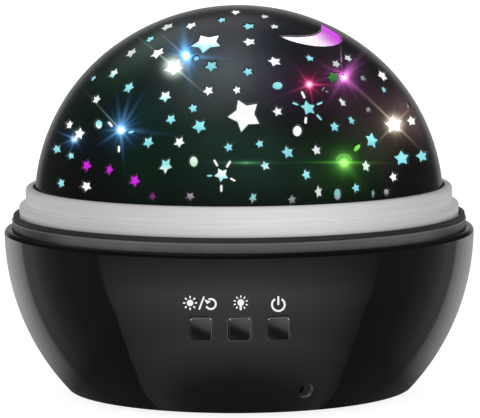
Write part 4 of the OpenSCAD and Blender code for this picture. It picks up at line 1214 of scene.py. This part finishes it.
def build_bowl():
    ncol = 288
    rows = 34
    la0 = math.asin((1.0 - ZC) / R_OUT)
    la1 = -math.atan2(0.65, 63.79)
    lat = [la0 + (la1 - la0) * j / rows for j in range(rows + 1)]
    half = 35
    cols = range(-half, half + 1)
    step = TAU / ncol
    holes = []
    for k in (-1, 0, 1):
        a = [(x + k * PITCH_X, y) for x, y in rrect(6.56, 7.10, 1.22)]
        b = [(x + k * PITCH_X, y) for x, y in rrect(6.08, 6.68, 1.02)]
        holes.append(([on_panel_ball(x, y, R_OUT) for x, y in a], [on_panel_ball(x, y, R_OUT - 0.20) for x, y in b],
                      [on_panel_ball(x, y, R_IN) for x, y in b], 2))
    nj = 40
    ja = [(2.00 * math.cos(TAU * i / nj), 2.00 * math.sin(TAU * i / nj)) for i in range(nj)]
    jb = [(1.9 * math.cos(TAU * i / nj), 1.9 * math.sin(TAU * i / nj)) for i in range(nj)]
    holes.append(([on_jack_ball(x, z, R_OUT) for x, z in ja], [on_jack_ball(x, z, R_OUT - 0.45) for x, z in jb],
                  [on_jack_ball(x, z, R_IN) for x, z in jb], 3))

    def flat(p):
        a, l = angles(p)
        return Vector((a * 1.13, l * 1.13)) * 60

    pts, grid, kinds = [], {}, []
    loop_pts = [[flat(p) for p in h[0]] for h in holes]

    def near(q):
        for lp in loop_pts:
            x0, x1 = min(p.x for p in lp), max(p.x for p in lp)
            y0, y1 = min(p.y for p in lp), max(p.y for p in lp)
            if x0 - 0.55 < q.x < x1 + 0.55 and y0 - 0.55 < q.y < y1 + 0.55:
                return True
        return False

    fine = []
    for c in cols:
        for j in range(rows + 1):
            q = Vector((c * step * 1.13, lat[j] * 1.13)) * 60
            border = abs(c) == half or j in (0, rows)
            if border or not near(q):
                grid[(c, j)] = len(pts)
                pts.append(q)
    ring = [(-half, j) for j in range(rows)] + [(c, rows) for c in range(-half, half)] + \
           [(half, j) for j in range(rows, 0, -1)] + [(c, 0) for c in range(half, -half, -1)]
    edges = [(grid[ring[i]], grid[ring[(i + 1) % len(ring)]]) for i in range(len(ring))]
    fin, bases = [], []
    for lp in loop_pts:
        b0 = len(pts)
        bases.append(b0)
        pts += lp
        fin.append(list(range(b0, len(pts))))
    v2, _, tri, ov, _, of = delaunay_2d_cdt(pts, edges, fin, 0, 1e-6)
    idx = {}
    for k, o in enumerate(ov):
        for q in o:
            idx[q] = k
    verts, vn = [], []
    for p in v2:
        al, la = p.x / 67.8, p.y / 67.8
        P = ball(al, la)
        verts.append(P)
        vn.append((P - SC).normalized())
    nv = len(verts)
    # the rest of the bowl's columns
    key = {}
    for c in range(-half, half + 1):
        for j in (list(range(rows + 1)) if abs(c) == half else [0, rows]):
            key[(c % ncol, j)] = idx[grid[(c, j)]]
    extra = [c for c in range(half + 1, ncol - half)]
    for c in extra:
        for j in range(rows + 1):
            P = ball(c * step, lat[j])
            key[(c, j)] = len(verts)
            verts.append(P)
            vn.append((P - SC).normalized())
    no = len(verts)
    # the inner surface follows the same pattern
    inner = [SC + (p - SC).normalized() * R_IN for p in verts]
    for h, b0 in zip(holes, bases):
        for i, p in enumerate(h[2]):
            inner[idx[b0 + i]] = p
    # its lower edge ends level with the outer one
    rin = math.sqrt(R_IN ** 2 - (ZC - 1.0) ** 2)
    for c in range(ncol):
        k = key[(c, 0)]
        a = math.atan2(verts[k].x, -verts[k].y)
        inner[k] = Vector((rin * math.sin(a), -rin * math.cos(a), 1.0))
    allv = verts + inner
    faces, norms, mats = [], [], []

    def face(f, ns, mat=0):
        faces.append(f)
        norms.extend(ns)
        mats.append(mat)

    def two(a, b, c, d=None):
        q = (a, b, c) if d is None else (a, b, c, d)
        n = (allv[q[1]] - allv[q[0]]).cross(allv[q[2]] - allv[q[0]])
        if n.dot(vn[a]) < 0:
            q = q[::-1]
        face(q, [vn[k] for k in q])
        face(tuple(no + k for k in q[::-1]), [-vn[k] for k in q[::-1]])

    for t, o in zip(tri, of):
        if not o:
            two(*t[:3])
    for c in range(half, ncol - half):
        for j in range(rows):
            two(key[(c % ncol, j)], key[((c + 1) % ncol, j)], key[((c + 1) % ncol, j + 1)], key[(c % ncol, j + 1)])
    # bottom edge, rim fillet and rim top
    down = Vector((0, 0, -1))
    prof = [(63.79 + 1.2 * math.cos(rad(t)), 44.40 + 1.2 * math.sin(rad(t)), rad(t)) for t in
            [-0.58 + 90.58 * i / 10 for i in range(1, 11)]]
    chain = []
    for c in range(ncol):
        a = math.atan2(verts[key[(c, rows)]].x, -verts[key[(c, rows)]].y)
        sa, ca = math.sin(a), -math.cos(a)
        ids, ns = [key[(c, rows)]], [vn[key[(c, rows)]]]
        for r, z, t in prof:
            ids.append(len(allv))
            allv.append(Vector((r * sa, r * ca, z)))
            ns.append(Vector((math.cos(t) * sa, math.cos(t) * ca, math.sin(t))))
        ids.append(len(allv))
        allv.append(Vector((62.95 * sa, 62.95 * ca, 45.6)))
        ns.append(Vector((0, 0, 1)))
        chain.append((ids, ns, Vector((-sa, -ca, 0))))
    for c in range(ncol):
        d = (c + 1) % ncol
        (ia, na, wa), (ib, nb, wb) = chain[c], chain[d]
        for k in range(len(ia) - 1):
            face((ia[k], ib[k], ib[k + 1], ia[k + 1]), [na[k], nb[k], nb[k + 1], na[k + 1]], 1)
        # inner wall from the rim down to the inner surface
        face((ia[-1], ib[-1], no + ib[0], no + ia[0]), [wa, wb, wb, wa])
        k0, k1 = key[(c, 0)], key[(d, 0)]
        face((k1, k0, no + k0, no + k1), [down] * 4)
    for h, b0 in zip(holes, bases):
        m = len(h[0])
        ia = [idx[b0 + i] for i in range(m)]
        ib = []
        for p in h[1]:
            ib.append(len(allv))
            allv.append(p)
        cen = sum((allv[k] for k in ia), Vector()) / m
        for i in range(m):
            j = (i + 1) % m
            f1 = (ia[i], ia[j], ib[j], ib[i])
            f2 = (ib[i], ib[j], no + ia[j], no + ia[i])
            n1 = (allv[f1[1]] - allv[f1[0]]).cross(allv[f1[3]] - allv[f1[0]]).normalized()
            if n1.dot(vn[ia[i]]) < 0:
                f1, f2, n1 = f1[::-1], f2[::-1], -n1
            n2 = (allv[f2[1]] - allv[f2[0]]).cross(allv[f2[2]] - allv[f2[1]]).normalized()
            face(f1, [n1] * 4, h[3])
            face(f2, [n2] * 4, 4 if h[3] == 3 else 0)
    # ledges inside, as turned rings
    for ring_prof in ([(41.5, 3.2), (47.2, 3.2), (48.9, 4.7), (41.5, 4.7)],
                      [(60.2, 38.9), (63.1, 38.9), (63.1, 40.7), (60.2, 40.7)]):
        v, f = lathe(ring_prof, 144)
        b0 = len(allv)
        allv += [Vector(p) for p in v]
        for q in f:
            g = tuple(b0 + k for k in q)
            nn = (allv[g[1]] - allv[g[0]]).cross(allv[g[2]] - allv[g[1]]).normalized()
            face(g, [nn] * 4)
    return allv, faces, norms, mats


def socket_edge():
    """The countersink of the power socket: moulded satin, with a painted highlight on its lower side, which faces up,
    and a faint painted glow all round.
    """
    m, nd, b = material("socket_edge")
    p = nd.obj()
    sep = nd.new("ShaderNodeSeparateXYZ")
    nd.put(sep.inputs[0], p)
    fine = nd.noise(p, 2200, 2.0, 0.5)
    low = nd.ramp(sep.outputs[2], 0.0066, 0.0056)
    k = nd.math("MULTIPLY", low, nd.ramp(fine, 0.2, 0.8, 0.85, 1.0))
    nd.put(b.inputs["Base Color"], nd.mix(k, (0.045, 0.045, 0.047), (0.48, 0.48, 0.49)))
    # painted glow all round the countersink
    b.inputs["Emission Color"].default_value = (1.0, 1.0, 1.0, 1)
    b.inputs["Emission Strength"].default_value = 0.026
    b.inputs["Specular IOR Level"].default_value = 0.15
    nd.put(b.inputs["Roughness"], nd.ramp(fine, 0.3, 0.7, 0.25, 0.38))
    return m


def socket_wall():
    """The moulded throat of the power socket, with a faint painted glow."""
    m, nd, b = material("socket_wall")
    p = nd.obj()
    fine = nd.noise(p, 2200, 2.0, 0.5)
    nd.put(b.inputs["Base Color"], nd.mix(fine, (0.060, 0.060, 0.062), (0.090, 0.090, 0.093)))
    nd.put(b.inputs["Roughness"], nd.ramp(fine, 0.3, 0.7, 0.40, 0.55))
    b.inputs["Emission Color"].default_value = (1.0, 1.0, 1.0, 1)
    b.inputs["Emission Strength"].default_value = 0.020
    return m


bv, bf, bn, bm = build_bowl()
make("bowl", bv, bf, "base", [M["gloss_black_abs"], M["rim_satin"], M["window_lip"], socket_edge(),
                                                    socket_wall()],
     bm, normals=bn, replaces=("base_shell",))

# ------------------------------------------------------------------ buttons


def build_cap(k):
    """A gently crowned key cap with a softened edge and its flange, in the panel's frame."""
    crown, lean, top, rho = 15.0, 0.30, 65.36, 0.36
    w, h, r = 5.9, 6.5, 1.0
    phi0 = rad(9)
    n = 10
    inset = rho * (1 - math.sin(phi0))
    base = rrect(w - 2 * inset, h - 2 * inset, r - rho * 0.85, n)
    m = len(base)
    outs = []
    for i in range(m):
        q = (i % (n + 1)) / n * 90 + (i // (n + 1)) * 90
        outs.append((math.cos(rad(q)), math.sin(rad(q))))

    def z_at(x, y):
        return top - (x * x + y * y + 2 * lean * x * y) / (2 * crown)

    def up_at(x, y):
        return Vector(((x + 0.5 * y) / 20.0, (y + 0.5 * x) / 8.6 - 0.24, 1.0)).normalized()

    rings, nrm, shine = [], [], []
    for t in (0.10, 0.20, 0.30, 0.40, 0.50, 0.60, 0.70, 0.79, 0.87, 0.94, 1.0):
        loop, ns = [], []
        for x, y in base:
            a = math.atan2(y / h, x / w)
            q = t ** 3
            px, py = x * t * q + math.cos(a) * w * 0.5 * t * (1 - q), y * t * q + math.sin(a) * h * 0.5 * t * (1 - q)
            loop.append((px, py, z_at(px, py)))
            ns.append(up_at(px, py))
        rings.append(loop)
        nrm.append(ns)
        shine.append([0.0] * m)
    steps = 7
    for f in range(1, steps + 1):
        phi = phi0 + (math.pi / 2 - phi0) * f / steps
        off = rho * (math.sin(phi) - math.sin(phi0))
        drop = rho * (math.cos(phi0) - math.cos(phi))
        loop, ns, sh = [], [], []
        for (bx, by), (ox, oy) in zip(base, outs):
            loop.append((bx + ox * off, by + oy * off, z_at(bx, by) - drop))
            ns.append(Vector((ox * math.sin(phi), oy * math.sin(phi), math.cos(phi))))
            # painted highlights on the fillet: glints at the two top corners and a paler line along the upper and right
            # edges
            corner = math.exp(-((abs(ox) - 0.70) ** 2 + (oy - 0.71) ** 2) / 0.05)
            edge = math.exp(-((phi - rad(38)) / rad(20)) ** 2)
            sh.append(0.9 * edge * corner + max(edge, 0.45 if phi > rad(38) else 0.0) *
                      (0.17 * max(0.0, oy) ** 2 + 0.11 * max(0.0, ox) ** 2 + 0.01))
        rings.append(loop)
        nrm.append(ns)
        shine.append(sh)
    wall = rrect(w, h, r, n)
    flange = rrect(w + 1.8, h + 1.8, 1.2, n)
    side = [Vector((ox, oy, 0)) for ox, oy in outs]
    extra = [([(x, y, 60.8) for x, y in wall]), ([(x, y, 60.8) for x, y in flange]), ([(x, y, 59.9) for x, y in flange])]
    verts = [panel(k * PITCH_X, 0, top)]
    glow = [0.0]
    for loop, sh in zip(rings + extra, shine + [[0.0] * m] * 3):
        verts += [panel(x + k * PITCH_X, y, z) for x, y, z in loop]
        glow += list(sh)
    verts.append(panel(k * PITCH_X, 0, 59.9))
    glow.append(0.0)
    last = len(verts) - 1
    o0 = panel(0, 0, 0)
    turn = lambda v: (panel(v.x, v.y, v.z) - o0).normalized()
    out_axis, in_axis = Vector((0, 0, 1)), Vector((0, 0, -1))
    faces, norms = [], []
    total = len(rings) + 3
    for i in range(m):
        j = (i + 1) % m
        faces.append((0, 1 + i, 1 + j))
        norms += [turn(up_at(0, 0)), turn(nrm[0][i]), turn(nrm[0][j])]
        for q in range(total - 1):
            a = 1 + q * m
            faces.append((a + i, a + m + i, a + m + j, a + j))
            if q < len(rings) - 1:
                ns = [nrm[q][i], nrm[q + 1][i], nrm[q + 1][j], nrm[q][j]]
            elif q == len(rings):
                ns = [out_axis] * 4
            else:
                ns = [side[i], side[i], side[j], side[j]]
            norms += [turn(v) for v in ns]
        a = 1 + (total - 1) * m
        faces.append((last, a + j, a + i))
        norms += [turn(in_axis)] * 3
    return verts, faces, norms, [(g, g, g) for g in glow]


def cap_material():
    """The bowl's gloss black, with painted highlights: glints at the caps' top corners and a paler line along their
    upper and right edges.
    """
    m, nd, b = material("gloss_black_caps")
    p = nd.obj()
    drift = nd.noise(p, 90, 4.0, 0.6)
    fine = nd.noise(p, 600, 2.0, 0.5)
    at = nd.new("ShaderNodeAttribute", attribute_name="painted_glint")
    sep = nd.new("ShaderNodeSeparateXYZ")
    nd.put(sep.inputs[0], at.outputs["Vector"])
    dark = nd.mix(drift, (0.0016, 0.0016, 0.0018), (0.0028, 0.0028, 0.0031))
    nd.put(b.inputs["Base Color"], nd.mix(sep.outputs[0], dark, (0.95, 0.95, 0.96)))
    nd.put(b.inputs["Roughness"], nd.ramp(fine, 0.3, 0.7, 0.035, 0.065))
    b.inputs["Specular IOR Level"].default_value = 1.0
    return m


M["caps"] = cap_material()
for k, nm in ((-1, "mode"), (0, "colour"), (1, "power")):
    v, f, ns, painted_glint = build_cap(k)
    make(nm + "_cap", v, f, nm + "_key", [M["caps"]], normals=ns,
         replaces=(nm + "_button",), colours={"painted_glint": painted_glint})

# ------------------------------------------------------------------ printed signs

ink_v, ink_f = [], []


def ink_poly(pts):
    """A thin raised patch of ink from an outline in pixels of the front view, a fan about its middle."""
    m = len(pts)
    cx, cy = sum(p[0] for p in pts) / m, sum(p[1] for p in pts) / m
    area = sum(pts[i][0] * pts[(i + 1) % m][1] - pts[(i + 1) % m][0] * pts[i][1] for i in range(m))
    if area > 0:
        pts = pts[::-1]
    base = len(ink_v)
    for lvl in (R_OUT + 0.035, R_OUT - 0.03):
        for x, y in list(pts) + [(cx, cy)]:
            p = hit_sphere(x, y, SC, R_OUT)
            ink_v.append(SC + (p - SC).normalized() * lvl)
    t, b = base + m, base + 2 * m + 1
    for i in range(m):
        j = (i + 1) % m
        ink_f.append((t, base + i, base + j))
        ink_f.append((b, base + m + 1 + j, base + m + 1 + i))
        ink_f.append((base + i, base + m + 1 + i, base + m + 1 + j, base + j))


def ink_strip(left, right, close=False):
    """A raised ribbon between two rows of points."""
    m = len(left)
    base = len(ink_v)
    for lvl in (R_OUT + 0.035, R_OUT - 0.03):
        for row in (left, right):
            for x, y in row:
                p = hit_sphere(x, y, SC, R_OUT)
                ink_v.append(SC + (p - SC).normalized() * lvl)
    L, Rr, l2, r2 = base, base + m, base + 2 * m, base + 3 * m
    fs = []
    last = m if close else m - 1
    for i in range(last):
        j = (i + 1) % m
        fs += [(L + i, L + j, Rr + j, Rr + i), (l2 + i, r2 + i, r2 + j, l2 + j),
               (L + i, l2 + i, l2 + j, L + j), (Rr + i, Rr + j, r2 + j, r2 + i)]
    if not close:
        fs += [(L, Rr, r2, l2), (L + m - 1, l2 + m - 1, r2 + m - 1, Rr + m - 1)]
    # turn the ribbon so its top faces out
    f0 = fs[0]
    n = (ink_v[f0[1]] - ink_v[f0[0]]).cross(ink_v[f0[2]] - ink_v[f0[1]])
    if n.dot(ink_v[f0[0]] - SC) < 0:
        fs = [f[::-1] for f in fs]
    ink_f.extend(fs)


def disc(cx, cy, r, n=28):
    ink_poly([(cx + r * math.cos(TAU * i / n), cy + r * math.sin(TAU * i / n)) for i in range(n)])


def bar(x0, y0, x1, y1, w, cap=True):
    dx, dy = x1 - x0, y1 - y0
    q = math.hypot(dx, dy)
    ux, uy = dx / q, dy / q
    h = w / 2
    a = math.atan2(uy, ux)
    pts = [(x1 + h * math.cos(a + t) , y1 + h * math.sin(a + t)) for t in
           [(-90 + 22.5 * i) * math.pi / 180 for i in range(9)]]
    pts += [(x0 + h * math.cos(a + t), y0 + h * math.sin(a + t)) for t in
            [(90 + 22.5 * i) * math.pi / 180 for i in range(9)]]
    ink_poly(pts)


def arc_band(cx, cy, r, w, a0, a1, n=40):
    """Angles in degrees, 0 to the right and 90 up."""
    left, right = [], []
    for i in range(n + 1):
        a = rad(a0 + (a1 - a0) * i / n)
        left.append((cx + (r - w / 2) * math.cos(a), cy - (r - w / 2) * math.sin(a)))
        right.append((cx + (r + w / 2) * math.cos(a), cy - (r + w / 2) * math.sin(a)))
    ink_strip(left, right)


# sun and turning arrow
disc(190.1, 302.9, 3.2)
for i in range(8):
    a = rad(45 * i)
    bar(190.1 + 5.4 * math.cos(a), 302.9 + 5.4 * math.sin(a), 190.1 + 6.4 * math.cos(a), 302.9 + 6.4 * math.sin(a), 1.6)
bar(203.8, 297.2, 199.3, 309.0, 1.7)
arc_band(210.8, 304.0, 5.0, 1.9, -153, 116)
ink_poly([(204.3, 299.3), (210.9, 301.5), (207.0, 304.1)])
# lamp
disc(240.8, 302.5, 3.35)
ink_poly([(239.4, 305.0), (242.1, 305.0), (241.7, 308.0), (239.8, 308.0)])
disc(240.7, 309.0, 1.15)
for t in (90, 127, 164, 196, 231, 54, 17, -19, -54):
    a = -rad(t)
    bar(240.8 + 5.7 * math.cos(a), 302.7 + 5.7 * math.sin(a), 240.8 + 6.7 * math.cos(a), 302.7 + 6.7 * math.sin(a), 1.4)
# power
arc_band(278.3, 304.6, 6.35, 1.9, 121, 419, 60)
bar(278.3, 297.0, 278.3, 304.2, 1.9)
make("panel_signs", ink_v, ink_f, "base", [M["icon_ink"]], smooth=False)

# ------------------------------------------------------------------ rings

silver = [(56.0, 48.2), (60.5, 48.2)] + arc(60.5, 48.5, 0.3, -60, 0, 4) + arc(60.0, 51.6, 0.8, 0, 80, 12) + \
    [(59.5, 52.46), (59.1, 52.50), (59.0, 52.6)] + arc(57.9, 56.1, 1.1, 0, 90, 14) + \
    [(57.2, 57.2), (56.98, 57.12), (56.9, 56.9), (56.9, 51.0), (52.3, 51.0), (52.3, 49.5), (56.0, 49.5)]
v, f = lathe(silver, 384)
make("turned_ring", v, f, "turntable", [M["silver_paint"]], sharp=32, replaces=("silver_ring",))

cap = [(61.3, 48.1), (62.5, 48.1)] + arc(62.2, 49.2, 0.3, 0, 90, 6) + [(61.5, 49.5), (61.3, 49.3)]
v, f = lathe(cap, 384)
make("rim_band", v, f, "base", [M["satin_black_abs"]], sharp=32, replaces=("rim_cap",))

# the collar's top edge is finished with a fine rounded lip
lip = [(62.5, 47.72), (62.8, 47.72)] + arc(62.66, 47.98, 0.20, -20, 90, 8) + [(62.5, 48.18)]
v, f = lathe(lip, 384)
make("collar_lip", v, f, "base", [M["collar_lip"]], sharp=40)

# ------------------------------------------------------------------ carried-over CAD nodes

slot_of = {s["node"]: s["material_slot"] for s in frame["record"]["subparts"]}
for name, ob in frame["nodes"].items():
    mat = M["socket_body"] if name == "dc_socket" else M.get(slot_of.get(name, ""))
    if mat is None:
        continue
    ob.data.materials.clear()
    ob.data.materials.append(mat)

# ------------------------------------------------------------------ floor, world, look

fl = bpy.data.meshes.new("floor")
S = 6.0
fl.from_pydata([(-S, -S, -0.0002), (S, -S, -0.0002), (S, S, -0.0002), (-S, S, -0.0002)], [], [(0, 1, 2, 3)])
floor = bpy.data.objects.new("floor", fl)
scene.collection.objects.link(floor)
fm, nd, b = material("pale_floor")
b.inputs["Base Color"].default_value = (0.36, 0.36, 0.36, 1)
b.inputs["Roughness"].default_value = 1.0
b.inputs["Specular IOR Level"].default_value = 0.0
b.inputs["Emission Color"].default_value = (1, 1, 1, 1)
b.inputs["Emission Strength"].default_value = 0.88
fm.cycles.emission_sampling = "NONE"
fl.materials.append(fm)
floor.visible_glossy = False

world = bpy.data.worlds.new("studio")
scene.world = world
world.use_nodes = True
world.cycles.sampling_method = "NONE"
wt = world.node_tree
for n in list(wt.nodes):
    wt.nodes.remove(n)
nd = Nodes(wt)
out = nd.new("ShaderNodeOutputWorld")
bg = nd.new("ShaderNodeBackground")
wt.links.new(bg.outputs[0], out.inputs["Surface"])
dirv = nd.new("ShaderNodeTexCoord").outputs["Generated"]
sep = nd.new("ShaderNodeSeparateXYZ")
nd.put(sep.inputs[0], dirv)
X, Y, Z = sep.outputs
el = nd.math("MULTIPLY", nd.math("ARCSINE", nd.math("MINIMUM", nd.math("MAXIMUM", Z, -1.0), 1.0)), 180 / math.pi)
az = nd.math("MULTIPLY", nd.math("ABSOLUTE", nd.math("ARCTAN2", X, nd.math("MULTIPLY", Y, -1.0))), 180 / math.pi)
azs = nd.math("MULTIPLY", nd.math("ARCTAN2", X, nd.math("MULTIPLY", Y, -1.0)), 180 / math.pi)


def curve(v, points):
    """A line through (position, level) points, held level outside them."""
    total = points[0][1]
    for (x0, y0), (x1, y1) in zip(points, points[1:]):
        total = nd.math("ADD", total, nd.ramp(v, x0, x1, 0.0, y1 - y0, smooth=False))
    return total


CP, SP = math.cos(rad(6.43)), math.sin(rad(6.43))
side_x = nd.math("ABSOLUTE", X)
rise = nd.math("MULTIPLY_ADD", Z, CP, nd.math("MULTIPLY", Y, SP))     # above the plane of the front view's axis
away = nd.math("MULTIPLY_ADD", Y, CP, nd.math("MULTIPLY", Z, -SP))    # along that axis
over = nd.math("MULTIPLY", nd.math("ARCTAN2", Z, nd.math("MULTIPLY", Y, -1.0)), 180 / math.pi)
# a large white panel in front, seen below the horizon in the bowl
side_edge = curve(el, [(-66, 180), (-62, 125), (-57.8, 102), (-54.7, 90), (-50.5, 83.4), (-44.9, 76.8), (-38.7, 73.5),
                       (-33, 70.6), (-10, 71.8)])
rel = nd.math("DIVIDE", az, side_edge)
rel2 = nd.math("MULTIPLY", rel, rel)
top_edge = nd.math("MULTIPLY_ADD", rel2, -1.3, -5.4)
in_top = nd.ramp(nd.math("SUBTRACT", el, top_edge), 0.5, -0.5)
in_side = nd.ramp(nd.math("SUBTRACT", az, side_edge), 0.8, -0.8)
bright = curve(el, [(-84, 0.02), (-73, 0.06), (-66, 0.20), (-58, 0.43), (-50, 0.64), (-42, 0.64), (-26, 0.98), (-22.5, 0.86), (-18.5, 0.64),
                    (-14, 0.49), (-10.6, 0.36), (-5.8, 0.22)])
left = nd.math("LESS_THAN", X, 0.0)
fall = nd.math("MULTIPLY_ADD", nd.math("MINIMUM", rel2, 1.3), nd.math("MULTIPLY_ADD", left, 0.22, -0.88), 1.0)
front = nd.math("MULTIPLY", nd.math("MULTIPLY", in_top, in_side), nd.math("MULTIPLY", bright, nd.math("MAXIMUM", fall, 0.0)))
# the pale surroundings at the sides and behind, darker towards the table
off_axis = nd.math("MULTIPLY", nd.math("ARCCOSINE", nd.math("MINIMUM", away, 0.99999)), 180 / math.pi)
sides = curve(off_axis, [(0, 0.20), (10, 0.50), (16, 0.56), (24.4, 0.75), (30.4, 0.81), (35.6, 0.87), (40.4, 0.82),
                         (44.8, 0.71), (46.3, 0.66), (47.9, 0.28), (52.6, 0.28), (57.6, 0.31), (62, 0.23), (68, 0.17),
                         (74, 0.11), (82, 0.058), (93, 0.045)])
level_low = nd.ramp(rise, 0.01, -0.03)
slope = nd.math("DIVIDE", nd.math("MULTIPLY", rise, -1.0), nd.math("MAXIMUM", side_x, 0.001))
table = curve(slope, [(0.30, 1.0), (0.40, 0.88), (0.47, 0.78), (0.575, 0.66), (0.675, 0.52), (0.77, 0.36), (0.915, 0.10),
                      (1.0, 0.03)])
right_dim = nd.ramp(X, -0.2, 0.3, 1.0, 0.92)
around = nd.math("MULTIPLY", nd.math("MULTIPLY", sides, right_dim), nd.math("MULTIPLY", level_low, table))
behind = curve(off_axis, [(10, 0.50), (16, 0.54), (22.6, 0.42), (28, 0.15), (32, 0.03), (36, 0.0)])
behind = nd.math("MULTIPLY", nd.math("MULTIPLY", behind, nd.ramp(X, -0.15, 0.3, 0.65, 0.66)),
                 nd.math("SUBTRACT", 1.0, level_low))
# soft box overhead
box = nd.math("MULTIPLY", nd.ramp(over, 50.0, 74.0), nd.ramp(over, 156.0, 134.0))
box = nd.math("MULTIPLY", nd.math("MULTIPLY", box, nd.ramp(X, -0.64, -0.24)), nd.ramp(X, 0.19, 0.00, 0.10, 0.64))
env = nd.math("ADD", nd.math("ADD", around, behind), nd.math("ADD", nd.math("ADD", box, front), 0.050))
lp = nd.new("ShaderNodeLightPath")
k1 = nd.math("MULTIPLY", lp.outputs["Is Glossy Ray"], nd.math("SUBTRACT", env, 0.82))
k2 = nd.math("MULTIPLY", lp.outputs["Is Camera Ray"], 0.30)
level = nd.math("ADD", nd.math("ADD", 0.82, k1), k2)
nd.put(bg.inputs["Strength"], level)
bg.inputs["Color"].default_value = (1.0, 1.0, 1.0, 1)

scene.view_settings.view_transform = "Standard"
scene.view_settings.look = "None"
scene.view_settings.exposure = 0.0
scene.view_settings.gamma = 1.0
